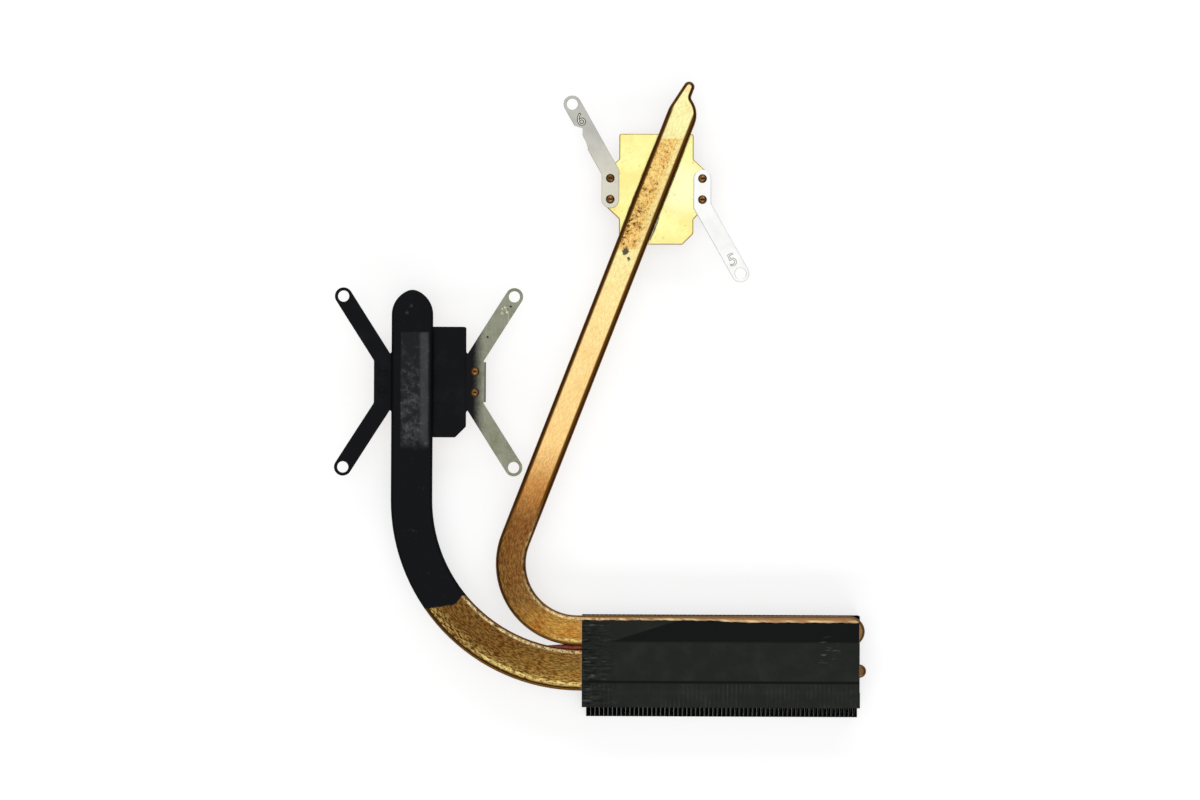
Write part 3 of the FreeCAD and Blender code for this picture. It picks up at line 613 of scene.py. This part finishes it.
# Painted highlight: a paler zone right of the pipe.
pale = spot_mask(tree, place, PLATE_HIGHLIGHT_PLACE, PLATE_HIGHLIGHT_REACH, PLATE_HIGHLIGHT_REACH / 3, PLATE_HIGHLIGHT_MOST, **SOFT)
grain = add(tree, "TexNoise", {"Vector": place, "Scale": 1 / PLATE_GRAIN, "Detail": 4, "Roughness": 0.7})
dot = add(tree, "MapRange", {0: grain, 1: 0.62, 2: 0.74}, **SOFT)
side = add(tree, "MapRange", {0: facing_up(tree), 1: 0.95, 2: 0.6}, **SOFT)
layers = [(cloud, "#FBEC98"), (pale, "#FFFFCC"), (dot, "#C9A75C"), (side, "#A8813F")]
colour = layered(tree, "#FDFBAC", layers)
bumps = add(tree, "Bump", {"Height": grain, "Strength": 0.15, "Distance": 0.03 * MM})
feed(tree, shader, {"Base Color": colour, "Metallic": 1.0, "Normal": bumps,
                    "Roughness": add(tree, "MapRange", {0: grain, 3: 0.3, 4: 0.42})})
gold_plate = material
print("finish:", gold_plate.name)

# %% [markdown]
# ## Spring steel
# The right bracket is dull greenish steel with scratches, and it caught black overspray on the
# plate's side. The graphics arms are bright plated steel; the lower arm takes a lighter copy of it,
# painted light for the brighter light on it. One function makes all three from their own colours:
# clouds, rolling marks, drawn coarser than real ones so that they show, and painted shade on the
# edges. Painted shade lies in the groove round each arm's stamped number, and inside it a painted
# highlight makes the metal bright.

# %% Spring steel
STEEL_CLOUD = 4.0
ROLL_TURN = math.radians(30)
ROLL_WIDTH = 0.4
ROLL_LENGTH = 3.0


def spring_steel(name, light, dark, edge, roughness, scratches):
    """Rolled sheet: two near tones in clouds, with marks along it and painted shade on its edges."""
    material, tree, shader, place = start_finish(name)
    clouds = add(tree, "TexNoise", {"Vector": place, "Scale": 1 / STEEL_CLOUD, "Detail": 6, "Roughness": 0.7})
    cloud = add(tree, "MapRange", {0: clouds, 1: 0.4, 2: 0.7}, **SOFT)
    rolled = add(tree, "Mapping", {"Vector": place, "Rotation": (0, 0, ROLL_TURN),
                                   "Scale": (1 / ROLL_WIDTH, 1 / ROLL_LENGTH, 1)})
    marks = add(tree, "TexNoise", {"Vector": rolled, "Scale": 1.0, "Detail": 4, "Roughness": 0.7})
    scratch = add(tree, "MapRange", {0: marks, 1: 0.55, 2: 0.75, 4: scratches}, **SOFT)
    # Painted shade: the edges darken where the surface turns from facing up.
    level = add(tree, "Math", {0: facing_up(tree)}, operation="ABSOLUTE")
    edge_shade = add(tree, "MapRange", {0: level, 1: 0.97, 2: 0.7}, **SOFT)
    edged = layered(tree, light, [(cloud, dark), (scratch, "#E4E4DA"), (edge_shade, edge)])
    bumps = add(tree, "Bump", {"Height": marks, "Strength": 0.15, "Distance": 0.03 * MM})
    feed(tree, shader, {"Base Color": edged, "Metallic": 1.0, "Roughness": roughness, "Normal": bumps})
    return material, tree, shader, place, edged


PAD_TOP = 2.9
STAMPS = {"gpu_upper_spring_arm": ("6", 41.6, 72.3), "gpu_lower_spring_arm": ("5", 83.45, 33.85)}
STAMP_REACH = 2.0
STAMP_DEPTH = 0.14
GROOVE_DEPTH = 0.05
UPPER_ROOT_Y = 55.0
UPPER_PAD_Y = 70.15


def stamped(tree, place, steel, arm, groove_shade, inside_highlight):
    """Paints shade in the groove round an arm's number and a highlight inside the number."""
    near = add(tree, "VectorMath", {0: place, 1: (*STAMPS[arm][1:], PAD_TOP)}, **APART)
    here = add(tree, "Math", {0: near.outputs["Value"], 1: STAMP_REACH}, operation="LESS_THAN")
    height = add(tree, "SeparateXYZ", {0: place}).outputs["Z"]
    # Painted shade in the groove, and a painted highlight inside the number.
    for top, low, colour in ((0.6 * GROOVE_DEPTH, 1.4 * GROOVE_DEPTH, groove_shade),
                             (1.4 * GROOVE_DEPTH, 1.2 * STAMP_DEPTH, inside_highlight)):
        middle_z = PAD_TOP - (top + low) / 2
        layer = add(tree, "Math", {0: height, 1: middle_z, 2: (low - top) / 2}, operation="COMPARE")
        layer_here = add(tree, "Math", {0: layer, 1: here}, **TIMES)
        steel = add(tree, "Mix", {"Factor": layer_here, "A": steel, "B": colour}, **COLOUR)
    return steel


upper_arm_steel, tree, shader, place, edged = spring_steel(
    "plated_spring_steel_upper", "#D9D5C6", "#CDCABB", "#6E6E6A", roughness=0.38, scratches=0.25)
spot = add(tree, "SeparateXYZ", {0: place})
outward = add(tree, "MapRange", {0: spot.outputs["Y"], 1: UPPER_ROOT_Y, 2: UPPER_PAD_Y})
cooler = add(tree, "Mix", {"Factor": outward, "A": edged, "B": "#E1E4ED"}, **STAIN)
numbered = stamped(tree, place, cooler, "gpu_upper_spring_arm", "#35332A", "#F4F2E4")
feed(tree, shader, {"Base Color": numbered})

# Painted light: the lower arm is a lighter copy of the arms' steel, for the brighter light on it.
lower_arm_steel_lit, tree, shader, place, edged = spring_steel(
    "plated_spring_steel_lower_lit", "#F9F9F7", "#F2F2EF", "#A6A6A2", roughness=0.38, scratches=0.1)
numbered = stamped(tree, place, edged, "gpu_lower_spring_arm", "#A8A8A4", "#FFFFFF")
feed(tree, shader, {"Base Color": numbered})

dull_steel, tree, shader, place, edged = spring_steel(
    "dull_spring_steel", "#939583", "#7E8067", "#62634F", roughness=0.42, scratches=0.4)
print("finishes:", upper_arm_steel.name, lower_arm_steel_lit.name, dull_steel.name)

# %% Overspray on the dull bracket
OVERSPRAY_BLACK_X = 12.6
OVERSPRAY_CLEAR_X = 16.4
BRACKET_SPECKS = [(16.15, 12.4), (22.5, 20.8)]
SPECK_REACH = 0.4
SCRATCHED = (20.8, 19.8)
SCRATCHED_REACH = 1.7
MIST = 0.8
DRIFT = 1.2
spot = add(tree, "SeparateXYZ", {0: place})
mist = add(tree, "TexNoise", {"Vector": place, "Scale": 1 / MIST, "Detail": 3})
on_plan = add(tree, "VectorMath", {0: place, 1: (1, 1, 0)}, **TIMES)
close = spot_mask(tree, on_plan, (*SCRATCHED, 0), SCRATCHED_REACH, SCRATCHED_REACH / 2)
scraped = add(tree, "MapRange", {0: mist, 1: 0.54, 2: 0.6, 4: close})
marks = [(scraped, "#DEDFCC")]
for x, y in BRACKET_SPECKS:
    dot = spot_mask(tree, on_plan, (x, y, 0), SPECK_REACH, SPECK_REACH / 2)
    marks.append((dot, "#2C2B22"))
drift = add(tree, "Math", {0: mist, 1: DRIFT, 2: spot.outputs["X"]}, **TIMES_PLUS)
sprayed = add(tree, "MapRange", {0: drift, 1: OVERSPRAY_CLEAR_X, 2: OVERSPRAY_BLACK_X}, **SOFT)
feed(tree, shader, {"Base Color": layered(tree, edged, marks + [(sprayed, PAINT_BLACK)]),
                    "Metallic": add(tree, "Math", {0: 1.0, 1: sprayed}, **MINUS),
                    "Specular IOR Level": add(tree, "MapRange", {0: sprayed, 3: 0.5, 4: MATT_SPECULAR})})
print("overspray from x =", OVERSPRAY_BLACK_X, "to", OVERSPRAY_CLEAR_X, "mm")

# %% [markdown]
# ## Rivets and fins
# The rivets are copper gone brown, with a lighter rim and painted shade in the dimple, so the colour
# goes by height on the head. The fins are thin black coated sheet with a little dust.

# %% Rivets and fins
RIVET_DIMPLE_Z = 2.2
RIVET_RIM_Z = 2.5
RIVET_MOTTLE = 0.7
FIN_DUST = 3.0
material, tree, shader, place = start_finish("brown_rivet_copper")
spot = add(tree, "SeparateXYZ", {0: place})
rivet_mottle = add(tree, "TexNoise", {"Vector": place, "Scale": 1 / RIVET_MOTTLE, "Detail": 4})
# Painted shade: dark in the dimple, lighter towards the rim.
height = add(tree, "MapRange", {0: spot.outputs["Z"], 1: RIVET_DIMPLE_Z, 2: RIVET_RIM_Z}, **SOFT)
uneven = add(tree, "Math", {0: height, 1: rivet_mottle}, **TIMES)
lit_by_height = add(tree, "MapRange", {0: uneven, 1: 0.2, 2: 0.6}, **SOFT)
brown = add(tree, "Mix", {"Factor": lit_by_height, "A": "#4A3018", "B": "#A67C4A"}, **COLOUR)
feed(tree, shader, {"Base Color": brown, "Metallic": 1.0, "Roughness": 0.42})
rivet_copper = material

material, tree, shader, place = start_finish("black_coated_fin_sheet")
dust = add(tree, "TexNoise", {"Vector": place, "Scale": 1 / FIN_DUST, "Detail": 4})
dusted = add(tree, "MapRange", {0: dust, 1: 0.45, 2: 0.75}, **SOFT)
black = add(tree, "Mix", {"Factor": dusted, "A": "#040504", "B": "#0B0D0A"}, **COLOUR)
feed(tree, shader, {"Base Color": black, "Roughness": 0.55, "Specular IOR Level": MATT_SPECULAR / 4})
fin_black = material
print("finishes:", rivet_copper.name, fin_black.name)

# %% [markdown]
# ## Solder
# Solder joins the pipes to the plates and fills the end of the gap between the pipes. Clean
# solder is satin grey, and the bead in the gap is dark red brown, painted shade of that gap.

# %% Solder
FLUX = 1.2


def solder(name, light, dark, metallic):
    """Satin bead metal in two tones."""
    material, tree, shader, place = start_finish(name)
    flux = add(tree, "TexNoise", {"Vector": place, "Scale": 1 / FLUX, "Detail": 5, "Roughness": 0.7})
    flux_tone = add(tree, "MapRange", {0: flux, 1: 0.4, 2: 0.65}, **SOFT)
    tone = add(tree, "Mix", {"Factor": flux_tone, "A": light, "B": dark}, **COLOUR)
    bumps = add(tree, "Bump", {"Height": flux, "Strength": 0.3, "Distance": 0.08 * MM})
    feed(tree, shader, {"Base Color": tone, "Metallic": metallic, "Roughness": 0.45, "Normal": bumps})
    return material


clean_solder = solder("tin_solder", "#D8D4C4", "#A79F8A", 1.0)
yellow_solder = solder("tin_solder_with_flux", "#C9B26C", "#7F6430", 1.0)
# Painted shade: this dark red brown stands for the shade in the gap between the pipes.
gap_shade_solder = solder("dark_solder_for_gap_shade", "#8E3620", "#341710", 0.3)
print("finishes:", clean_solder.name, yellow_solder.name, gap_shade_solder.name)

# %% [markdown]
# ## Black film finish
# The film is dull black polyester. Over the rear pipe painted shade makes it darkest, over the front
# pipe it is dustier, and on the fins it carries faint streaks at the fin pitch. A dark fold line of
# painted shade runs along the front pipe, a crease crosses the left end, both ends are scuffed, and
# painted shade darkens wrinkles at the left one. Each zone is a mask on the place in millimetres.

# %% Zones of the film
FILM_BAND_Y = -71.2
FILM_FOLD_Y = -82.2
CREASE_X = 51.2
CREASE_Y = -70.9
CREASE_SLOPE = 0.32
CREASE_EDGE = 0.2
FILM_BAND_EDGE = 0.3
FOLD_HALF_WIDTH = 0.35
FILM_DUST = 5.0
material, tree, shader, place = start_finish("black_polyester_film")
spot = add(tree, "SeparateXYZ", {0: place})
scuff = add(tree, "TexNoise", {"Vector": place, "Scale": 1 / FILM_DUST, "Detail": 5, "Roughness": 0.6})
dusted = add(tree, "MapRange", {0: scuff, 1: 0.4, 2: 0.75}, **SOFT)
crease_y = add(tree, "Math", {0: spot.outputs["X"], 1: CREASE_SLOPE, 2: CREASE_Y - CREASE_SLOPE * CREASE_X},
               **TIMES_PLUS)
below_crease = add(tree, "Math", {0: crease_y, 1: spot.outputs["Y"]}, **MINUS)
right_of_crease = add(tree, "MapRange", {0: below_crease, **around(0, CREASE_EDGE)})
# Painted shade: darkest over the rear pipe and along the fold.
on_rear_pipe = add(tree, "MapRange", {0: spot.outputs["Y"], **around(FILM_BAND_Y, FILM_BAND_EDGE)})
rear_shade = add(tree, "Math", {0: on_rear_pipe, 1: right_of_crease}, **TIMES)
fold_shade = add(tree, "Math", {0: spot.outputs["Y"], 1: FILM_FOLD_Y, 2: FOLD_HALF_WIDTH}, operation="COMPARE")
zones = [(dusted, "#272A25"), (rear_shade, "#0B0D0C"), (fold_shade, "#0A0B0A")]

# %% Streaks and scuffs of the film
SCUFF_PLACE = (109.8, -74.1, 3.67)
SCUFF_REACH = 5.0
FIN_FIRST_X = 42.6
FIN_PITCH = 1.21
FIN_LINE_REACH = (0.3, 0.05)
FIN_LINES_START = (0.4, 0.8)
STREAK = 6.0
DASH_STRETCH = (0.25, 1.6, 1)
DASH = 0.9
LEFT_END_X = (53.0, 43.0)
fin_turn = add(tree, "Math", {0: spot.outputs["X"], 1: FIN_FIRST_X}, **MINUS)
fin_wave = add(tree, "Math", {0: fin_turn, 1: FIN_PITCH / 2}, operation="PINGPONG")
over_fin = add(tree, "MapRange", {0: fin_wave, 1: FIN_LINE_REACH[0], 2: FIN_LINE_REACH[1]}, **SOFT)
streak = add(tree, "TexNoise", {"Vector": place, "Scale": 1 / STREAK, "Detail": 4, "Roughness": 0.7})
rubbed = add(tree, "MapRange", {0: streak, 1: 0.42, 2: 0.7, 4: 0.7}, **SOFT)
on_fins = add(tree, "MapRange", {0: spot.outputs["Y"], 1: FILM_FOLD_Y - FIN_LINES_START[0],
                                 2: FILM_FOLD_Y - FIN_LINES_START[1]})
fin_line = add(tree, "Math", {0: over_fin, 1: rubbed}, **TIMES)
fin_mark = add(tree, "Math", {0: fin_line, 1: on_fins}, **TIMES)
dashes = add(tree, "Mapping", {"Vector": place, "Scale": DASH_STRETCH})
flecks = add(tree, "TexNoise", {"Vector": dashes, "Scale": 1 / DASH, "Detail": 4, "Roughness": 0.7})
left_end = add(tree, "MapRange", {0: spot.outputs["X"], 1: LEFT_END_X[0], 2: LEFT_END_X[1]})
right_end = spot_mask(tree, place, SCUFF_PLACE, SCUFF_REACH, SCUFF_REACH / 2)
end_share = add(tree, "Math", {0: left_end, 1: right_end}, operation="MAXIMUM")
fleck = add(tree, "MapRange", {0: flecks, 1: 0.57, 2: 0.68}, **SOFT)
fleck_here = add(tree, "Math", {0: end_share, 1: fleck}, **TIMES)
# Painted shade in the wrinkles at the left end.
wrinkle_shade = add(tree, "MapRange", {0: flecks, 1: 0.5, 2: 0.43}, **SOFT)
wrinkle_shade_here = add(tree, "Math", {0: wrinkle_shade, 1: left_end}, **TIMES)
scuffs = [(fin_mark, "#3A3D3A"), (fleck_here, "#565B5B"), (wrinkle_shade_here, "#030503")]
colour = layered(tree, "#1F221E", zones + scuffs)
bumps = add(tree, "Bump", {"Height": scuff, "Strength": 0.15, "Distance": 0.1 * MM})
feed(tree, shader, {"Base Color": colour, "Roughness": 0.5, "Normal": bumps,
                    "Specular IOR Level": MATT_SPECULAR})
black_film = material
print("finish:", black_film.name)

# %% [markdown]
# ## Finishes on the CAD pieces
# Each CAD piece takes one finish. The left rivets at the processor were painted over with their
# plate, and the other rivets stay brown, so brown copper is what a piece gets if it isn't named.

# %% Finishes on the CAD pieces
FINISHES = {
    "cpu_heat_pipe": painted_pipe, "gpu_heat_pipe": bare_copper,
    "cpu_contact_plate": black_on_copper, "gpu_contact_plate": gold_plate,
    "cpu_left_spring_bracket": black_on_steel, "cpu_right_spring_bracket": dull_steel,
    "gpu_upper_spring_arm": upper_arm_steel, "gpu_lower_spring_arm": lower_arm_steel_lit, "fins": fin_black,
    "left_end_fin": fin_black, "right_end_fin": fin_black, "fin_tape": black_film,
    "cpu_left_rivet_1": black_on_copper, "cpu_left_rivet_2": black_on_copper,
}
for name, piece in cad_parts.items():
    piece.data.materials.clear()
    piece.data.materials.append(FINISHES.get(name, rivet_copper))
print("finishes on", len(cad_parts), "pieces")

# %% [markdown]
# ## Film over the pipes and fins
# The CAD film is a plain folded strip. The real one shows a wavy rear edge, a dip between the
# pipes, wrinkles at its left end and a ridge over every fin. A grid is added at the film's size,
# its points are set to that relief, and Solidify gives it its thickness.

# %% Film over the pipes and fins
FILM_THICKNESS = 0.1
CAD_FILM_THICKNESS = 0.15
FILM_COLUMNS = 315
FILM_ROWS = 44
ROLL_Y = -83.73
LAND_Y = -85.96
PIPE_GAP_Y = -72.78
GAP_DIP = 0.2
GAP_REACH = 1.4
FIN_RIDGE = 0.03
CREASE_DROP = 0.05
WRINKLE_DEPTH = 0.12
WRINKLE_LENGTH = 5.0
WRINKLE_WIDTH = 0.9
WRINKLE_REACH = 9.0
CREASE_WIDTH = 0.8
RIDGE_STRENGTH = 0.6
RIDGE_CHANGE = 0.4
RIDGE_TURN = 2.3
RIDGE_RISE = 2.0
REAR_STRAY = 0.15
REAR_BULGE = 0.5
BULGE_X = 76.0
BULGE_FADE = 12.0
REAR_WAVES = [(0.08, 0.9, 0.0), (0.05, 2.6, 1.0)]
REAR_REACH = 2.5
film_low, film_high = (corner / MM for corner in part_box("fin_tape"))
FLAT_Z = film_high.z
LAND_Z = film_low.z + CAD_FILM_THICKNESS


def eased(t):
    """Smooth step from 0 to 1."""
    t = min(max(t, 0.0), 1.0)
    return t * t * (3 - 2 * t)


def film_top(x, y):
    """Height of the film's upper face at a place, in millimetres."""
    z = FLAT_Z + (LAND_Z - FLAT_Z) * eased((ROLL_Y - y) / (ROLL_Y - LAND_Y))
    z -= GAP_DIP * (1 - eased(abs(y - PIPE_GAP_Y) / GAP_REACH))
    above_crease = y - CREASE_Y - CREASE_SLOPE * (x - CREASE_X)
    z -= CREASE_DROP * eased(above_crease / CREASE_WIDTH) * eased((y - FILM_BAND_Y) / CREASE_WIDTH)
    left_end = 1 - eased((x - film_low.x) / WRINKLE_REACH)
    z -= WRINKLE_DEPTH * left_end * abs(noise.noise(Vector((x / WRINKLE_LENGTH, y / WRINKLE_WIDTH, 0))))
    turn = (x - FIN_FIRST_X) / FIN_PITCH
    strength = RIDGE_STRENGTH + RIDGE_CHANGE * math.sin(RIDGE_TURN * round(turn))
    ridge = FIN_RIDGE * strength * math.cos(math.pi * (turn - round(turn))) ** 2
    return z + ridge * eased((ROLL_Y - y) / RIDGE_RISE)


def rear_edge(x):
    """How far the film's rear edge strays from its line. A wave is its height, turn per mm and start."""
    bulge = REAR_BULGE * (1 - eased((x - BULGE_X) / BULGE_FADE))
    return REAR_STRAY + bulge + sum(high * math.sin(turn * x + start) for high, turn, start in REAR_WAVES)


bpy.ops.object.select_all(action="DESELECT")
bpy.ops.mesh.primitive_grid_add(x_subdivisions=FILM_COLUMNS, y_subdivisions=FILM_ROWS, size=1)
film = bpy.context.object
film.name = "fin_film"
middle = (film_low + film_high) / 2
film.scale = ((film_high.x - film_low.x) * MM, (film_high.y - film_low.y) * MM, 1)
film.location = (middle.x * MM, middle.y * MM, 0)
bpy.ops.object.transform_apply(location=True, rotation=False, scale=True)
for point in film.data.vertices:
    x, y = point.co.x / MM, point.co.y / MM
    y += rear_edge(x) * eased(1 - (film_high.y - y) / REAR_REACH)
    point.co = Vector((x, y, film_top(x, y))) * MM
wall = film.modifiers.new("thickness", "SOLIDIFY")
wall.thickness = FILM_THICKNESS * MM
wall.offset = -1
bpy.ops.object.modifier_apply(modifier=wall.name)
bpy.ops.object.shade_smooth_by_angle(angle=math.radians(40))
film.data.materials.append(black_film)
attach(film, "root")
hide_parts("fin_tape")
print("film points", len(film.data.vertices))

# %% [markdown]
# ## Sheet pieces with broken edges
# Stamped plates and springs have edges that are a little rounded, and those edges catch the light.
# A CAD piece is loose triangles, so a copy is merged, its flat faces are joined, and a fine bevel
# is applied to it. The copy stands for the CAD piece.

# %% Sheet pieces with broken edges
EDGE_BREAK = 0.12
EDGE_ANGLE = math.radians(35)
FLAT_AREA = 0.5
MERGE_REACH = 0.002
FLAT_ANGLE = math.radians(0.5)
SHEET_PIECES = {
    "cpu_contact_plate": "painted_plate", "gpu_contact_plate": "gold_plate",
    "cpu_left_spring_bracket": "painted_spring", "cpu_right_spring_bracket": "dull_spring_steel",
    "gpu_upper_spring_arm": "bright_spring_steel", "gpu_lower_spring_arm": "bright_spring_steel",
}


def broken_edges(name):
    """A merged copy of a CAD sheet piece with its edges broken. It stands for the CAD piece."""
    copy = bpy.data.objects.new(name + "_sheet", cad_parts[name].data.copy())
    bpy.context.scene.collection.objects.link(copy)
    bpy.ops.object.select_all(action="DESELECT")
    copy.select_set(True)
    bpy.context.view_layer.objects.active = copy
    bpy.ops.mesh.customdata_custom_splitnormals_clear()
    bpy.ops.object.mode_set(mode="EDIT")
    bpy.ops.mesh.select_all(action="SELECT")
    bpy.ops.mesh.remove_doubles(threshold=MERGE_REACH * MM)
    bpy.ops.mesh.dissolve_limited(angle_limit=FLAT_ANGLE)
    bpy.ops.object.mode_set(mode="OBJECT")
    bevel = copy.modifiers.new("edge_break", "BEVEL")
    bevel.width = EDGE_BREAK * MM
    bevel.segments = 2
    bevel.limit_method = "ANGLE"
    bevel.angle_limit = EDGE_ANGLE
    bpy.ops.object.modifier_apply(modifier=bevel.name)
    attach(copy, "root")
    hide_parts(name)
    return copy


def even_shading(piece):
    """Smooth shading on the broken edges, and flat shading on the large faces."""
    bpy.ops.object.select_all(action="DESELECT")
    piece.select_set(True)
    bpy.context.view_layer.objects.active = piece
    bpy.ops.object.shade_smooth_by_angle(angle=EDGE_ANGLE)
    for face in piece.data.polygons:
        if face.area > FLAT_AREA * MM * MM:
            face.use_smooth = False


sheets = {name: broken_edges(name) for name, slot in SHEET_PIECES.items()}
print("sheet pieces", {name: len(piece.data.polygons) for name, piece in sheets.items()})

# %% [markdown]
# ## Stamped numbers
# Each graphics arm has one plain number stamped in its screw pad. Text is made a mesh, set a
# little into the sheet and cut away with Boolean, as a stamp presses it in. A first, wider and
# shallower cut leaves the groove round the number, where the painted shade goes.

# %% Stamped numbers
STAMP_SIZE = 4.9
GROOVE_WIDTH = 0.1
STROKE_THINNER = 0.13
STAMP_TURN = math.radians(24)


def cut_away(sheet, tool):
    """Cuts a tool's shape out of a sheet piece and removes the tool."""
    bpy.context.view_layer.objects.active = sheet
    cut = sheet.modifiers.new("cut", "BOOLEAN")
    cut.object = tool
    cut.solver = "EXACT"
    cut.use_self = True
    bpy.ops.object.modifier_apply(modifier=cut.name)
    bpy.data.objects.remove(tool)


def press_number(arm, digit, x, y, depth, spread):
    """Cuts one number into the arm's pad, as deep and as much wider than the type as given."""
    bpy.ops.object.select_all(action="DESELECT")
    bpy.ops.object.text_add(location=(x * MM, y * MM, PAD_TOP * MM), rotation=(0, 0, STAMP_TURN))
    stamp = bpy.context.object
    stamp.data.body = digit
    stamp.data.size = STAMP_SIZE * MM
    stamp.data.align_x = "CENTER"
    stamp.data.align_y = "CENTER"
    stamp.data.extrude = depth * MM
    stamp.data.offset = spread * MM
    bpy.ops.object.convert(target="MESH")
    cut_away(arm, stamp)


for name, (digit, x, y) in STAMPS.items():
    press_number(sheets[name], digit, x, y, GROOVE_DEPTH, GROOVE_WIDTH)
    press_number(sheets[name], digit, x, y, STAMP_DEPTH, -STROKE_THINNER)
    print(name, "faces with its number", len(sheets[name].data.polygons))

# %% [markdown]
# ## Relief in the upper arm
# Below its screw pad a sliver is nipped out of the upper arm's left side, where the sheet bends
# down. The sliver's outline is a flat shape, thickened by Solidify and cut away with Boolean.

# %% Relief in the upper arm
RELIEF_OUTLINE = [(39.5, 70.88), (40.29, 70.62), (42.05, 70.05), (42.0, 68.15), (43.07, 66.1),
                  (43.58, 64.4), (39.5, 64.4)]
RELIEF_HEIGHT = 8.0
bpy.ops.object.select_all(action="DESELECT")
bpy.ops.mesh.primitive_circle_add(vertices=len(RELIEF_OUTLINE), radius=MM, fill_type="NGON")
sliver = bpy.context.object
for point, (x, y) in zip(sliver.data.vertices, RELIEF_OUTLINE):
    point.co = Vector((x, y, 0)) * MM
wall = sliver.modifiers.new("height", "SOLIDIFY")
wall.thickness = RELIEF_HEIGHT * MM
wall.offset = 0
bpy.ops.object.modifier_apply(modifier=wall.name)
cut_away(sheets["gpu_upper_spring_arm"], sliver)
for piece in sheets.values():
    even_shading(piece)
print("upper arm faces with its relief", len(sheets["gpu_upper_spring_arm"].data.polygons))

# %% [markdown]
# ## Solder beads
# A thin bead of solder runs along each pipe where it lies on a plate, a thicker grey lump sits low
# on the graphics pipe's right side, and a dark red brown bead closes the gap between the pipes
# before the fins, its colour painted shade of that gap. A stretched ball is thin at its ends as a
# bead is, and moving its points by noise makes it lumpy.

# %% Solder beads
LEG_MIDDLE = Vector((61.58, 53.45, 0))
LEG_TILT = GPU_BEND[2]
LEG_WAY = Vector((math.sin(LEG_TILT), math.cos(LEG_TILT), 0))
LEG_RIGHT = Vector((math.cos(LEG_TILT), -math.sin(LEG_TILT), 0))
LUMP_HEIGHT = 0.15
LUMP_LENGTH = 1.3
SEAM_OUT = 3.9
SEAM_Z = 1.7
SEAM_RADIUS = 0.45
GAP_Z = 2.2


def on_leg_place(along, right, z):
    """Place in millimetres by distance along the leg from the plate's middle and to its right."""
    return LEG_MIDDLE + LEG_WAY * along + LEG_RIGHT * right + Vector((0, 0, z))


def solder_bead(name, start, end, radius, finish):
    """Low lumpy bead along a seam from start to end."""
    way = end - start
    bpy.ops.object.select_all(action="DESELECT")
    turn = way.to_track_quat("Z", "Y").to_euler()
    bpy.ops.mesh.primitive_uv_sphere_add(segments=10, ring_count=28, radius=1,
                                         location=(start + end) / 2 * MM, rotation=turn)
    bead = bpy.context.object
    bead.name = name
    bead.scale = (radius * MM, radius * MM, way.length / 2 * MM)
    bpy.ops.object.transform_apply(location=True, rotation=True, scale=True)
    for point in bead.data.vertices:
        point.co += point.normal * noise.noise(point.co / (LUMP_LENGTH * MM)) * LUMP_HEIGHT * MM
    bpy.ops.object.shade_smooth()
    bead.data.materials.append(finish)
    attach(bead, "root")
    return bead


beads = [
    solder_bead("gpu_left_solder", on_leg_place(-16.3, -SEAM_OUT, SEAM_Z),
                on_leg_place(14.3, -SEAM_OUT, SEAM_Z), SEAM_RADIUS, yellow_solder),
    solder_bead("gpu_right_solder", on_leg_place(-14.3, SEAM_OUT, SEAM_Z),
                on_leg_place(17.3, SEAM_OUT, SEAM_Z), SEAM_RADIUS, yellow_solder),
    solder_bead("gpu_solder_lump", on_leg_place(-14.0, 4.1, 1.8), on_leg_place(-6.5, 4.2, 1.8), 0.55,
                clean_solder),
    solder_bead("cpu_solder", Vector((1.0, -15.0, SEAM_Z)), Vector((1.0, 15.0, SEAM_Z)), 0.4,
                black_on_copper),
    # Painted shade: a dark bead put in the gap between the pipes.
    solder_bead("pipe_gap_shade_solder", Vector((31.0, PIPE_GAP_Y, GAP_Z)), Vector((50.0, PIPE_GAP_Y, GAP_Z)), 0.85,
                gap_shade_solder),
]
print("solder beads", len(beads))

# %% [markdown]
# ## Size
# The part's size is the CAD's, so the dressed part has to fill the same box. Both boxes are
# gathered in one dictionary.

# %% Size
size = {"cad": [list(c) for c in cad_box], "visual": [list(c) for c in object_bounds()]}
